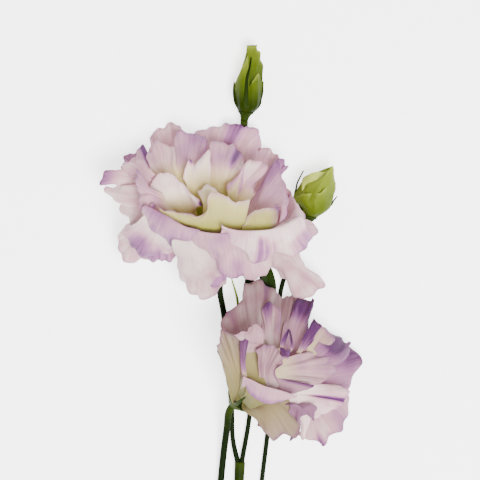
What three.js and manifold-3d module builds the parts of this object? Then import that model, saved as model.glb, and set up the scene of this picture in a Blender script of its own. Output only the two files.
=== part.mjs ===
// A cut lisianthus spray lying on a surface: two double blooms, two buds, their stems and small leaves.
// Millimetres. X runs to the right and Y up the spray as seen from above, Z up from the surface.
import * as THREE from "three";
import { mergeVertices } from "three/addons/utils/BufferGeometryUtils.js";
import Module from "manifold-3d";

const wasm = await Module();
wasm.setup();

// driving dimensions
const bladeThickness = 0.7;
const leafThickness = 0.8;
const clearance = 0.3;
const petalRows = 4;
const petalColumns = 4;
const farAway = 600;
const trunkRadius = 2;
const pedicelRadius = 0.95;
const cutEnd = [1.5, -172, 1.95];
const lowerNode = [0, -148, 1.95];
const upperNode = [0, -88.8, 1.95];
const leafNode = [8.8, -26, 1.25];
const calyxDepth = 4.8;

const colours = {
  petal: 0xe3d3de,
  calyx: 0x55731f,
  stem: 0x2c4714,
  leaf: 0x2f5a17,
  bract: 0x86a24a,
  bud: 0x9db24c,
  budCalyx: 0x3a571c,
  anther: 0xd9b93a,
  pistil: 0xa9bf62,
};

function finish(colour, roughness) {
  return new THREE.MeshStandardMaterial({ color: colour, roughness, metalness: 0 });
}

function smooth(t) {
  const c = THREE.MathUtils.clamp(t, 0, 1);
  return c * c * (3 - 2 * c);
}

// a repeatable draw between 0 and 1
function drawn(seed, k) {
  const value = Math.sin(seed * 12.9898 + k * 78.233) * 43758.5453;
  return value - Math.floor(value);
}

function vec(values) {
  return new THREE.Vector3(...values);
}

// a value that runs evenly through the given list as t goes from 0 to 1
function between(list, t) {
  const place = THREE.MathUtils.clamp(t, 0, 1) * (list.length - 1);
  const i = Math.min(Math.floor(place), list.length - 2);
  return list[i] + (list[i + 1] - list[i]) * (place - i);
}

// solids: made from a closed geometry and turned back into one

function solidFrom(geometry) {
  const bare = geometry.clone();
  bare.deleteAttribute("normal");
  bare.deleteAttribute("uv");
  const merged = mergeVertices(bare, 1e-4);
  return new wasm.Manifold(
    new wasm.Mesh({
      numProp: 3,
      vertProperties: merged.attributes.position.array,
      triVerts: new Uint32Array(merged.index.array),
    }),
  );
}

function geometryFrom(solid) {
  const mesh = solid.getMesh();
  const geometry = new THREE.BufferGeometry();
  geometry.setAttribute("position", new THREE.BufferAttribute(new Float32Array(mesh.vertProperties), 3));
  geometry.setIndex(new THREE.BufferAttribute(new Uint32Array(mesh.triVerts), 1));
  geometry.computeVertexNormals();
  return geometry;
}

function joined(geometries) {
  return geometries.map(solidFrom).reduce((all, one) => all.add(one));
}

// the one outer body: loose scraps are dropped and sealed hollows are filled
function wholeBody(solid) {
  return solid.decompose().reduce((best, one) => (one.volume() > best.volume() ? one : best));
}

// everything below the surface is cut off, which leaves small flat spots to rest on
function aboveSurface(solid) {
  const slab = new THREE.BoxGeometry(farAway, farAway, farAway);
  slab.translate(0, 0, -farAway / 2);
  return solid.subtract(solidFrom(slab));
}

function finished(solid) {
  return geometryFrom(wholeBody(aboveSurface(solid)));
}

function closedGeometry(points, faces) {
  const geometry = new THREE.BufferGeometry();
  const values = points.flatMap((p) => [p.x, p.y, p.z]);
  geometry.setAttribute("position", new THREE.Float32BufferAttribute(values, 3));
  geometry.setIndex(faces);
  return geometry;
}

// a closed skin from rings of points, with a point at each end
function skinGeometry(rings, firstPoint, lastPoint) {
  const sides = rings[0].length;
  const points = [firstPoint, ...rings.flat(), lastPoint];
  const last = points.length - 1;
  const faces = [];
  for (let j = 0; j < sides; j++) {
    const next = (j + 1) % sides;
    faces.push(0, 1 + next, 1 + j);
    faces.push(last, last - sides + j, last - sides + next);
    for (let i = 0; i < rings.length - 1; i++) {
      const a = 1 + i * sides + j;
      const b = 1 + i * sides + next;
      faces.push(a, b, b + sides, a, b + sides, a + sides);
    }
  }
  return closedGeometry(points, faces);
}

// a rod along a smooth curve through the points: round, or flattened against the way it faces
function rod(points, { width, depth = width, steps, sides = 8, facing = null }) {
  const curve = new THREE.CatmullRomCurve3(points, false, "centripetal");
  const frames = curve.computeFrenetFrames(steps, false);
  const rings = [];
  for (let i = 0; i <= steps; i++) {
    const t = i / steps;
    const centre = curve.getPointAt(t);
    const side = frames.normals[i].clone();
    const out = frames.binormals[i].clone();
    if (facing) {
      side.crossVectors(facing(centre), frames.tangents[i]).normalize();
      out.crossVectors(frames.tangents[i], side);
    }
    const ring = [];
    for (let j = 0; j < sides; j++) {
      const angle = (2 * Math.PI * j) / sides;
      const point = centre.clone();
      point.addScaledVector(side, (Math.cos(angle) * between(width, t)) / 2);
      point.addScaledVector(out, (Math.sin(angle) * between(depth, t)) / 2);
      ring.push(point);
    }
    rings.push(ring);
  }
  return skinGeometry(rings, curve.getPointAt(0), curve.getPointAt(1));
}

// a body turned round an axis in space, from pairs of height and radius
function turned(base, axis, profile, sides) {
  const outline = profile.map(([height, radius]) => new THREE.Vector2(radius, height));
  const geometry = new THREE.LatheGeometry(outline, sides);
  const turn = new THREE.Quaternion().setFromUnitVectors(new THREE.Vector3(0, 1, 0), axis);
  geometry.applyQuaternion(turn);
  geometry.translate(base.x, base.y, base.z);
  return geometry;
}

// a thin closed blade on a surface given as a function of u, along it, and v, from -1 to 1 across it
function bladeGeometry(surface, rows, columns, thickness) {
  const inner = [];
  const outer = [];
  const step = 0.01;
  for (let i = 0; i <= rows; i++) {
    for (let j = 0; j <= columns; j++) {
      const u = i / rows;
      const v = -1 + (2 * j) / columns;
      const along = surface(u + step, v).sub(surface(u - step, v));
      const across = surface(u, v + step).sub(surface(u, v - step));
      const normal = along.cross(across).normalize();
      const point = surface(u, v);
      inner.push(point.clone().addScaledVector(normal, thickness / 2));
      outer.push(point.clone().addScaledVector(normal, -thickness / 2));
    }
  }
  const width = columns + 1;
  const count = inner.length;
  const faces = [];
  for (let i = 0; i < rows; i++) {
    for (let j = 0; j < columns; j++) {
      const a = i * width + j;
      const b = count + a;
      faces.push(a, a + width, a + width + 1, a, a + width + 1, a + 1);
      faces.push(b, b + width + 1, b + width, b, b + 1, b + width + 1);
    }
  }
  const edge = (a, b) => faces.push(a, count + b, b, a, count + a, count + b);
  for (let i = 0; i < rows; i++) {
    edge(i * width, (i + 1) * width);
    edge((i + 1) * width + columns, i * width + columns);
  }
  for (let j = 0; j < columns; j++) {
    edge(j + 1, j);
    edge(rows * width + j, rows * width + j + 1);
  }
  return closedGeometry([...inner, ...outer], faces);
}

// Petals. at: where the tip is seen from above, from the bloom's base; height: the tip's height along the
// bloom's axis. Angles are in degrees. fall is the way the tip points, from the axis: 0 up it, 90 straight
// out, more where the petal hangs. lift and lean say how the root leaves, reach how far the tip's pull goes.
const petalHabit = {
  width: 34,
  fall: 90,
  reach: 14,
  throat: 2,
  rootWidth: 0.18,
  cup: [35, 12],
  wave: [1.6, 2.2, 0],
  fine: 0.3,
  roll: 0,
  twist: 0,
  blunt: 0.27,
  notch: 0,
  peak: 0.8,
  fringe: 0.8,
  curl: 1,
};

const whorls = {
  outer: { root: 0, lift: 18, lean: 68 },
  front: { root: 0, lift: 32, lean: 32 },
  middle: { root: 2, lift: 16, lean: 58 },
  inner: { root: 4, lift: 12, lean: 62 },
};

const mainBloom = {
  base: [-4.8, -2.8, 16.5],
  axis: [0.05, 0.8, 0.6],
  seed: 100,
  sepalTurn: 20,
  petals: [
    { name: "backLeft", at: [-22.4, 48.4], height: 29, fall: 75, wave: [1.6, 2.6, 0.5] },
    { name: "backCentre", at: [-0.8, 48], height: 33.5, width: 44, fall: 65, wave: [0.8, 1.5, 1], blunt: 0.2 },
    { name: "backRight", at: [10.4, 45.2], height: 31.5, width: 26, fall: 70, notch: 0.03 },
    { name: "rightUpper", at: [16.8, 38.8], height: 23, width: 26, fall: 85, twist: 10 },
    { name: "leftUpper", at: [-39.2, 35.6], height: 27, width: 36, fall: 85, twist: -20, wave: [2.2, 2.4, 2] },
    { name: "leftTip", at: [-49.6, 26.8], height: 22, width: 30, fall: 95, twist: -25, blunt: 0.4 },
    { name: "lowerLeft", at: [-43.2, 2.8], height: 5, width: 46, fall: 125, reach: 18, twist: -10,
      wave: [2.2, 2.6, 0.4] },
    { name: "frontLeftFold", whorl: "front", at: [-22.4, -0.4], height: 8, width: 38, fall: 130 },
    { name: "frontLeft", whorl: "front", at: [-11.2, -18.8], height: -8, width: 30, fall: 155, reach: 20,
      wave: [1.8, 3, 0.2] },
    { name: "frontCentre", whorl: "front", at: [5.6, -14], height: -1, width: 40, fall: 145, reach: 18,
      wave: [1.6, 3.4, 1] },
    { name: "bottomRight", whorl: "front", at: [36, -16.4], height: -4, fall: 128, reach: 20, blunt: 0.15 },
    { name: "frontRight", whorl: "front", at: [16, -6.4], height: 8, width: 50, fall: 130,
      wave: [1.6, 2.4, 0.6], blunt: 0.3 },
    { name: "right", whorl: "front", at: [34.4, 10], height: 10, width: 32, fall: 110, reach: 16, twist: 28,
      wave: [1.8, 3, 0.4] },
    { name: "midBackLeft", whorl: "middle", at: [-12, 44.4], height: 34, width: 30, fall: 40, reach: 12,
      wave: [1.8, 2.8, 1.1] },
    { name: "midRight", whorl: "middle", at: [12.8, 34.8], height: 31, width: 32, fall: 35, reach: 12 },
    { name: "purpleRight", whorl: "middle", at: [21.2, 31.6], height: 28, width: 42, fall: 50, twist: 10 },
    { name: "midLeft", whorl: "middle", at: [-25.6, 39.6], height: 33, width: 38, fall: 50 },
    { name: "leftFold", whorl: "middle", at: [-31.2, 15.6], height: 19, width: 36, fall: 85, reach: 12,
      twist: -15 },
    { name: "innerLeft", whorl: "inner", at: [-19.2, 13.6], height: 22, width: 38, fall: 30, reach: 10,
      roll: 1.5 },
    { name: "innerFront", whorl: "inner", at: [0.8, 18.8], height: 27, width: 36, fall: -5, reach: 12,
      lift: 10, lean: 55 },
    { name: "innerRight", whorl: "inner", at: [16, 14.8], height: 24, fall: 30, reach: 10 },
    { name: "innerBack", whorl: "inner", at: [-9.2, 34.8], height: 32, width: 24, fall: 5, reach: 12 },
  ],
};

const secondBloom = {
  base: [1.2, -61.6, 16],
  axis: [0.643, 0.579, 0.5],
  seed: 300,
  sepalTurn: 0,
  petals: [
    { name: "leftOuter", at: [-8.8, 27.2], height: 18, width: 38, fall: 20, reach: 12, lift: 14 },
    { name: "upperLeft", at: [0, 41.6], height: 28, width: 40, fall: 70 },
    { name: "top", at: [14.8, 38.4], height: 31, width: 36, fall: 65 },
    { name: "topRight", at: [26.4, 35.2], height: 31, width: 30, fall: 70 },
    { name: "rightHigh", at: [30.8, 27.6], height: 33, width: 20, fall: 50 },
    { name: "rightUpper", at: [38.8, 20.4], height: 29.3, width: 30, fall: 80 },
    { name: "right", at: [46.8, 12], height: 31.2, width: 38, fall: 80 },
    { name: "rightLower", at: [43.2, 3.6], height: 28, fall: 85, twist: 15 },
    { name: "lowerRight", at: [40.8, -7.2], height: 23, fall: 95, twist: 20 },
    { name: "bottom", at: [31.6, -18.4], height: 13, fall: 110, reach: 16, twist: 20 },
    { name: "lowerOuter", at: [10, -15.2], height: 6, width: 36, fall: 60, reach: 10, lift: 12, lean: 80 },
    { name: "frontLip", whorl: "front", at: [9.2, -1.2], height: 15, width: 40, fall: 120, reach: 8,
      lift: 26 },
    { name: "upperInner", whorl: "middle", at: [11.2, 35.2], height: 32, width: 26, fall: 35, reach: 12 },
    { name: "teardrop", whorl: "inner", at: [17.6, 27.2], height: 33, width: 12, fall: 20, reach: 10,
      cup: [60, 100] },
    { name: "centre", whorl: "inner", at: [10, 19.6], height: 27, width: 28, fall: 10, reach: 10 },
    { name: "innerLow", whorl: "inner", at: [16.8, 8.8], height: 24, width: 30, fall: 25, reach: 10 },
    { name: "centreRight", whorl: "middle", at: [30, 6], height: 30, width: 30, fall: 50, reach: 12 },
  ],
};

// a point of a petal's middle surface, in the spray's own place
function petalSurface(bloom, petal, seed) {
  const p = { ...petalHabit, ...whorls[petal.whorl ?? "outer"], ...petal };
  const radians = THREE.MathUtils.degToRad;
  const base = vec(bloom.base);
  const axis = vec(bloom.axis).normalize();
  const [x, y] = p.at;
  const tip = new THREE.Vector3(x, y, (p.height - axis.x * x - axis.y * y) / axis.z);
  const radial = tip.clone().addScaledVector(axis, -p.height).normalize();
  const side = axis.clone().cross(radial);
  const way = (angle) =>
    axis.clone().multiplyScalar(Math.cos(radians(angle))).addScaledVector(radial, Math.sin(radians(angle)));
  const root = radial.clone().multiplyScalar(p.throat).addScaledVector(axis, p.root);
  const rise = root.clone().addScaledVector(way(p.lean), p.lift);
  const pull = tip.clone().addScaledVector(way(p.fall), -p.reach);
  const midrib = new THREE.CubicBezierCurve3(root, rise, pull, tip);
  const phase = [0, 1, 2, 3, 4, 5, 6, 7].map((k) => drawn(seed, k) * 2 * Math.PI);
  const [waveDepth, waveCount, waveStart] = p.wave;

  return (u, v) => {
    const spread = Math.abs(v);
    const ragged =
      Math.sin(7.3 * v + phase[0]) + 0.8 * Math.sin(13.1 * v + phase[1]) + 0.5 * Math.sin(23 * v + phase[2]);
    const outline =
      1 - p.blunt * spread ** 2.3 - p.notch * Math.exp(-((v / 0.16) ** 2)) + 0.012 * p.fringe * ragged;
    const t = u * outline;
    const end = THREE.MathUtils.clamp(t, 0, 1);
    const tangent = midrib.getPoint(t + 0.001).sub(midrib.getPoint(t - 0.001)).normalize();
    const level = side.clone().addScaledVector(tangent, -tangent.dot(side)).normalize();
    const facing = tangent.clone().cross(level);
    const turn = radians(p.twist) * smooth(t);
    const across = level.clone().multiplyScalar(Math.cos(turn)).addScaledVector(facing, Math.sin(turn));
    const inward = facing.clone().multiplyScalar(Math.cos(turn)).addScaledVector(level, -Math.sin(turn));
    const growth = Math.sin((Math.PI / 2) * THREE.MathUtils.clamp(t / p.peak, 0, 1));
    const half = (p.width / 2) * (p.rootWidth + (1 - p.rootWidth) * growth);
    const bend = radians(p.cup[0] + (p.cup[1] - p.cup[0]) * end ** 0.8);
    const over = (half * Math.sin(bend * v)) / bend;
    const up = (half * (1 - Math.cos(bend * v))) / bend;
    const ruffle =
      waveDepth *
      (end ** 3 * Math.sin(waveCount * Math.PI * v + waveStart) +
        0.45 * end ** 5 * Math.sin(2.3 * waveCount * Math.PI * v + phase[6]) +
        0.8 * spread ** 3 * end * Math.sin(3.2 * Math.PI * end + waveStart + Math.sign(v) * 1.3));
    const crumple =
      p.fine *
      end ** 1.5 *
      (Math.sin(9 * v + 2 * t + phase[3]) +
        0.6 * Math.sin(17 * v - 3 * t + phase[4]) +
        0.5 * spread * Math.sin(11 * t + 4 * v + phase[5]));
    const curled = p.curl * smooth((end - 0.8) / 0.2) ** 1.5 * (0.7 + 0.5 * Math.sin(2.1 * v + phase[7]));
    const rolled = p.roll * spread ** 4 * smooth(t / 0.7);
    const point = midrib.getPoint(t).add(base).addScaledVector(across, over);
    return point.addScaledVector(inward, up + ruffle + crumple - curled - rolled);
  };
}

function petalBlades(bloom, thickness) {
  return bloom.petals.map((petal, index) => {
    const surface = petalSurface(bloom, petal, bloom.seed + index);
    return bladeGeometry(surface, petalRows, petalColumns, thickness);
  });
}

// all petals of a bloom, sunk into the short tube that they are grown together in
function bloomPetals(bloom) {
  const outline = [[-1.4, 0], [-1.2, 1.8], [0, 4], [2.4, 7.6], [4.6, 9.2], [6.4, 8.6], [7, 6], [7.2, 2.8], [7.5, 0]];
  const core = turned(vec(bloom.base), vec(bloom.axis).normalize(), outline, 12);
  return joined([core, ...petalBlades(bloom, bladeThickness)]);
}

// directions square to a bloom's axis, by angle from the side that faces up
function roundAxis(bloom, angle) {
  const axis = vec(bloom.axis).normalize();
  const up = new THREE.Vector3(0, 0, 1).addScaledVector(axis, -axis.z).normalize();
  return up.applyAxisAngle(axis, THREE.MathUtils.degToRad(angle));
}

// a place by height along the axis and distance from it
function besideAxis(bloom, radial, height, distance) {
  const axis = vec(bloom.axis).normalize();
  return vec(bloom.base).addScaledVector(axis, height).addScaledVector(radial, distance);
}

// the green dish under a bloom with its five awl-shaped sepals, kept clear of the petals
function bloomCalyx(bloom) {
  const axis = vec(bloom.axis).normalize();
  const dish = [[-calyxDepth, 0], [-calyxDepth, 1.5], [-3.4, 2.8], [-1.8, 4.4], [-1, 4.9], [-1.2, 4.5],
    [-1.75, 2.4], [-1.9, 0]];
  const pieces = [turned(vec(bloom.base), axis, dish, 9)];
  for (let k = 0; k < 5; k++) {
    const radial = roundAxis(bloom, bloom.sepalTurn + 72 * k);
    const path = [[-2.2, 3.2], [-0.6, 6.2], [2.2, 10.2], [5.6, 13.6], [9.6, 16.4]];
    const points = path.map(([height, distance]) => besideAxis(bloom, radial, height, distance));
    const outward = radial.clone().addScaledVector(axis, -1).normalize();
    pieces.push(rod(points, {
      width: [2.4, 2, 1.6, 1.2, 0.7],
      depth: [1.6, 1.2, 1, 0.9, 0.65],
      steps: 5,
      sides: 4,
      facing: () => outward,
    }));
  }
  const petals = joined(petalBlades(bloom, bladeThickness + 2 * clearance));
  return joined(pieces).subtract(petals);
}

// ovary, style and the two-lobed stigma
function bloomPistil(bloom) {
  const axis = vec(bloom.axis).normalize();
  const side = roundAxis(bloom, 90);
  const outline = [[7.8, 0], [8, 1.2], [10, 1.6], [12.5, 1.4], [14, 0.6], [18.2, 0.55], [18.4, 0]];
  const pieces = [turned(vec(bloom.base), axis, outline, 6)];
  for (const way of [-1, 1]) {
    const lobe = new THREE.SphereGeometry(1, 6, 4);
    lobe.scale(1.1, 0.8, 0.8);
    const place = besideAxis(bloom, side, 18.6, 0.7 * way);
    lobe.translate(place.x, place.y, place.z);
    pieces.push(lobe);
  }
  return joined(pieces);
}

// five filaments with their anthers, standing on one low ring round the ovary
function bloomStamens(bloom) {
  const axis = vec(bloom.axis).normalize();
  const outline = [[7.8, 2.1], [7.8, 2.9], [8.6, 2.9], [8.6, 2.1], [7.8, 2.1]];
  const pieces = [turned(vec(bloom.base), axis, outline, 8)];
  for (let k = 0; k < 5; k++) {
    const radial = roundAxis(bloom, 36 + 72 * k);
    const path = [[8.2, 2.5], [11, 2.9], [13.2, 3], [14.6, 3.1], [16.2, 3]];
    const points = path.map(([height, distance]) => besideAxis(bloom, radial, height, distance));
    pieces.push(rod(points, { width: [0.75, 0.7, 0.65, 0.65, 1.3, 1.3, 0.7], steps: 6, sides: 4 }));
  }
  return joined(pieces);
}

// Buds. The furled petals wind round each other, so every margin stands over the next one. The places are
// on the bud's middle line from base to tip, each with its radius. Sepals: angle from the side that faces
// up, and how much of the bud's length they reach.
const topBud = {
  places: [[2.1, 50.2, 5.6], [2.8, 54.4, 5.6], [3.2, 59.2, 5.6], [3.6, 64, 5.6], [4.8, 70, 5.7], [5, 73.6, 5.8],
    [4.9, 77.6, 5.9]],
  radii: [1.7, 4.8, 5.5, 5.2, 4, 3, 1.9],
  wind: 1.1,
  ridge: 0.09,
  sepals: [[2, 0.78], [88, 0.6], [-74, 0.55], [148, 0.6], [-142, 0.6]],
  sepalWidth: [3.2, 2.8, 2.1, 1.4, 0.7],
};

const sideBud = {
  places: [[27.2, 8.8, 7.4], [29, 16, 7.4], [30.2, 20, 7.4], [31.8, 24, 7.4], [34.2, 27.2, 7.4], [37, 29.4, 7.4]],
  radii: [2, 7.1, 7.2, 6.2, 3.6, 0.8],
  wind: 1.3,
  ridge: 0.08,
  sepals: [[98, 0.42], [160, 0.5], [214, 0.5], [268, 0.6], [306, 0.22]],
  sepalWidth: [2.4, 1.6, 1.1, 0.9, 0.65],
};

const budLobes = 5;

function budLine(bud) {
  return new THREE.CatmullRomCurve3(bud.places.map(vec), false, "centripetal");
}

function onBud(bud, t, angle, distance) {
  const line = budLine(bud);
  const axis = line.getTangent(t);
  const up = new THREE.Vector3(0, 0, 1).addScaledVector(axis, -axis.z).normalize();
  const radial = up.applyAxisAngle(axis, THREE.MathUtils.degToRad(angle));
  return line.getPoint(t).addScaledVector(radial, distance);
}

function budPetals(bud) {
  const ringCount = 11;
  const sides = 20;
  const rings = [];
  for (let i = 0; i < ringCount; i++) {
    const t = i / (ringCount - 1);
    const ring = [];
    for (let j = 0; j < sides; j++) {
      const turns = (j / sides) * budLobes + bud.wind * t;
      const margin = turns - Math.floor(turns);
      const swell = 1 - bud.ridge + bud.ridge * margin * smooth(t * 4);
      ring.push(onBud(bud, t, (j / sides) * 360, between(bud.radii, t) * swell));
    }
    rings.push(ring);
  }
  return solidFrom(skinGeometry(rings, vec(bud.places[0]), vec(bud.places.at(-1))));
}

function budCalyx(bud) {
  const first = bud.radii[0];
  const dish = [[-2.6, 0], [-2.6, 1.3], [-1.6, 2], [-0.3, first + 0.9], [0.6, first + 2], [0.1, first + 0.5],
    [-0.35, first], [-0.35, 0]];
  const pieces = [turned(vec(bud.places[0]), budLine(bud).getTangent(0), dish, 8)];
  for (const [angle, share] of bud.sepals) {
    const points = [];
    for (let i = 0; i <= 6; i++) {
      const t = (share * i) / 6;
      points.push(onBud(bud, t, angle, between(bud.radii, t) + clearance + 0.55));
    }
    const outward = onBud(bud, share / 2, angle, 1).sub(onBud(bud, share / 2, angle, 0));
    pieces.push(rod(points, {
      width: bud.sepalWidth,
      depth: [0.9, 0.9, 0.8, 0.7, 0.65],
      steps: 6,
      sides: 4,
      facing: () => outward,
    }));
  }
  return joined(pieces);
}

// Stems. Each is a smooth run through a few places, thicker where it forks or carries a flower.
function belowBloom(bloom, distance) {
  return vec(bloom.base).addScaledVector(vec(bloom.axis).normalize(), -distance);
}

function belowBud(bud, distance) {
  return vec(bud.places[0]).addScaledVector(budLine(bud).getTangent(0), -distance);
}

function stemPiece(places, widths, steps) {
  return rod(places, { width: widths, steps, sides: 6 });
}

function stemSolid() {
  const thick = 2 * trunkRadius;
  const thin = 2 * pedicelRadius;
  const swell = thin + 0.7;
  const trunk = [cutEnd, lowerNode, [-0.8, -128, 1.95], [-0.4, -98, 1.95], upperNode].map(vec);
  const toMain = [[-0.1, -92, 2], [-2.8, -80, 2.2], [-3.2, -68.4, 3.2], [-3.6, -56, 4.4], [-4.4, -48, 4.9],
    [-6.4, -29.6, 5], [-8, -19, 6.8], [-6, -10.8, 10.6]].map(vec);
  toMain.push(belowBloom(mainBloom, calyxDepth + clearance));
  const toTopBud = [[0.2, -91.5, 2], [1.2, -86, 1.9], [3.6, -72, 1.4], [4.2, -62, 1.1], [6.4, -40, 1.1],
    leafNode, [8.8, -16, 1.1], [6.6, 8, 1], [3, 30, 1], [1.3, 40, 1.1]].map(vec);
  toTopBud.push(belowBud(topBud, 5), belowBud(topBud, 3));
  const toSecond = [[0, -150, 2], [-3.2, -143, 1.9], [-7.2, -128, 1.5], [-8.4, -112, 1.5], [-7.6, -96, 2.8],
    [-6.4, -84, 5], [-5.2, -74.5, 8.2], [-4.3, -67.8, 11.4]].map(vec);
  toSecond.push(belowBloom(secondBloom, calyxDepth + clearance));
  const toSideBud = [[0.2, -150, 2], [3, -137, 1.5], [6.8, -116, 1], [8.8, -96, 1], [11.2, -76, 1],
    [13.8, -48, 1], [16.4, -20, 1], [20, -9, 1.4]].map(vec);
  toSideBud.push(belowBud(sideBud, 5.5), belowBud(sideBud, 3));
  return joined([
    stemPiece(trunk, [thick, thick, thick + 0.9, thick, thick - 0.2, thick, thick - 0.3, thick + 0.2], 14),
    stemPiece(toMain, [thin + 0.4, thin, thin, thin, thin, thin, thin, swell], 16),
    stemPiece(toTopBud, [thin + 0.2, thin, thin, thin + 0.7, thin, thin, thin, thin + 0.2, swell], 27),
    stemPiece(toSecond, [thick - 0.8, thin + 0.6, thin, thin, thin, thin, swell], 17),
    stemPiece(toSideBud, [thick - 1, thin, thin, thin, thin, thin, swell - 0.2], 23),
  ]);
}

// Leaves: a pair at one node of the upper stem, and one thin bracteole beside the main bloom's stem.
function leafSolid(places, width, lift) {
  const midrib = new THREE.CubicBezierCurve3(...places.map(vec));
  const surface = (u, v) => {
    const tangent = midrib.getPoint(u + 0.001).sub(midrib.getPoint(u - 0.001)).normalize();
    const side = new THREE.Vector3(0, 0, 1).cross(tangent).normalize();
    const up = tangent.clone().cross(side);
    const half = 0.35 + (width / 2 - 0.35) * Math.sin(Math.PI * THREE.MathUtils.clamp(u, 0, 1) ** 0.8) ** 1.3;
    return midrib.getPoint(u).addScaledVector(side, half * v).addScaledVector(up, lift * v * v * (half / width));
  };
  return solidFrom(bladeGeometry(surface, 7, 4, leafThickness));
}

function bracteoleSolid() {
  const points = [[-3.1, -42, 5], [-1.6, -34, 5.6], [-0.9, -25, 6.4], [-3.4, -15, 8.2]].map(vec);
  return solidFrom(rod(points, {
    width: [0.9, 1.1, 0.9, 0.65],
    steps: 8,
    sides: 5,
  }));
}

const spray = new THREE.Group();

function addPart(name, solid, material) {
  const mesh = new THREE.Mesh(finished(solid), material);
  mesh.name = name;
  spray.add(mesh);
}

const petalFinish = finish(colours.petal, 0.6);
const calyxFinish = finish(colours.calyx, 0.55);
const pistilFinish = finish(colours.pistil, 0.5);
const antherFinish = finish(colours.anther, 0.7);
const leafFinish = finish(colours.leaf, 0.5);
const budFinish = finish(colours.bud, 0.5);
const budCalyxFinish = finish(colours.budCalyx, 0.5);

addPart("stem", stemSolid(), finish(colours.stem, 0.5));
const leafPlaces = {
  right: [[10.3, -26, 2.6], [12, -21, 5.4], [13.4, -15, 5.8], [12.8, -7, 4.4]],
  left: [[7.3, -26, 2.4], [3.6, -24, 3], [1.6, -18, 3], [1.4, -9, 3]],
};
addPart("leaf_right", leafSolid(leafPlaces.right, 9, 1.5), leafFinish);
addPart("leaf_left", leafSolid(leafPlaces.left, 8, 1.5), leafFinish);
addPart("bracteole", bracteoleSolid(), finish(colours.bract, 0.5));
addPart("main_bloom_petals", bloomPetals(mainBloom), petalFinish);
addPart("main_bloom_calyx", bloomCalyx(mainBloom), calyxFinish);
addPart("main_bloom_pistil", bloomPistil(mainBloom), pistilFinish);
addPart("main_bloom_stamens", bloomStamens(mainBloom), antherFinish);
addPart("second_bloom_petals", bloomPetals(secondBloom), petalFinish);
addPart("second_bloom_calyx", bloomCalyx(secondBloom), calyxFinish);
addPart("second_bloom_pistil", bloomPistil(secondBloom), pistilFinish);
addPart("second_bloom_stamens", bloomStamens(secondBloom), antherFinish);
addPart("top_bud_petals", budPetals(topBud), budFinish);
addPart("top_bud_calyx", budCalyx(topBud), budCalyxFinish);
addPart("side_bud_petals", budPetals(sideBud), budFinish);
addPart("side_bud_calyx", budCalyx(sideBud), budCalyxFinish);

// the spray's own place: centred over the surface, its lowest flats on it
function centreOnSurface(group) {
  const box = new THREE.Box3().setFromObject(group);
  const middle = box.getCenter(new THREE.Vector3());
  for (const mesh of group.children) {
    mesh.geometry.translate(-middle.x, -middle.y, -box.min.z);
  }
}

centreOnSurface(spray);

export default spray;
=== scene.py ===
import math

import bpy
import numpy as np
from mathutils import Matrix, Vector


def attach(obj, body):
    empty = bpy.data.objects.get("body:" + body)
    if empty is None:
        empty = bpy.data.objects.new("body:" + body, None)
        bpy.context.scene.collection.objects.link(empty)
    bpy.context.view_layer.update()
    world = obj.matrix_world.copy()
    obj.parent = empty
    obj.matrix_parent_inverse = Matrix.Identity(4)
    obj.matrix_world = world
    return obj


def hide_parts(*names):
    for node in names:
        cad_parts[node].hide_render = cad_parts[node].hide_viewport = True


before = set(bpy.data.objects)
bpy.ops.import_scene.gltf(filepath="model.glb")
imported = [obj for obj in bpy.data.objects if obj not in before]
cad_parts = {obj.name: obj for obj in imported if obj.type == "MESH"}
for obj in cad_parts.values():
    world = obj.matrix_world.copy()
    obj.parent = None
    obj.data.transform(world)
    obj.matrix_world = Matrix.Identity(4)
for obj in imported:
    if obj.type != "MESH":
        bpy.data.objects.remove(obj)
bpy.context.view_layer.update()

mm = 0.001


def smooth(t):
    t = np.clip(t, 0, 1)
    return t * t * (3 - 2 * t)


def hump(place, where, breadth):
    return np.exp(-(((place - where) / breadth) ** 2))


def unit(v):
    v = np.asarray(v, dtype=float)
    return v / np.maximum(np.linalg.norm(v, axis=-1, keepdims=True), 1e-9)


def squareTo(axis, angle):  # square to the axis, by an angle in degrees from the side that faces up
    up = unit(np.array([0, 0, 1.0]) - axis * axis[..., 2:3])
    angle = math.radians(angle)
    return up * math.cos(angle) + np.cross(axis, up) * math.sin(angle)


def drawn(seed, k):  # a repeatable draw between 0 and 1
    value = math.sin(seed * 12.9898 + k * 78.233) * 43758.5453
    return value - math.floor(value)


def between(values, t):  # one value, or several laid evenly from 0 to 1, read at t
    values = np.atleast_1d(values)
    return np.interp(t, np.linspace(0, 1, len(values)), values)


def alongCurve(points, t):  # centripetal curve through the points, t from 0 to 1 point by point
    points = np.asarray(points, dtype=float)
    points = np.vstack([2 * points[0] - points[1], points, 2 * points[-1] - points[-2]])
    place = np.clip(t, 0, 1) * (len(points) - 3)
    i = np.minimum(place.astype(int), len(points) - 4)
    w = (place - i)[:, None]
    a, b, c, d = points[i], points[i + 1], points[i + 2], points[i + 3]
    steps = (b - a, c - b, d - c)
    ab, bc, cd = [np.maximum(np.linalg.norm(step, axis=1, keepdims=True) ** 0.5, 1e-3) for step in steps]
    leave = ((b - a) / ab - (c - a) / (ab + bc) + (c - b) / bc) * bc
    arrive = ((c - b) / bc - (d - b) / (bc + cd) + (d - c) / cd) * bc
    return b + leave * w + (3 * (c - b) - 2 * leave - arrive) * w**2 + (2 * (b - c) + leave + arrive) * w**3


curveDetail = 60  # places for each point of a curve while its length is measured
profileDetail = 8  # rings for each point of a turned profile
thinnest = 0.02  # mm, so that a turned body's ends keep their faces


def evenly(points, t):  # the same curve, t from 0 to 1 by its length
    dense = alongCurve(points, np.linspace(0, 1, curveDetail * len(points)))
    run = np.concatenate([[0], np.cumsum(np.linalg.norm(np.diff(dense, axis=0), axis=1))])
    return np.stack([np.interp(t * run[-1], run, column) for column in dense.T], axis=-1)


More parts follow.
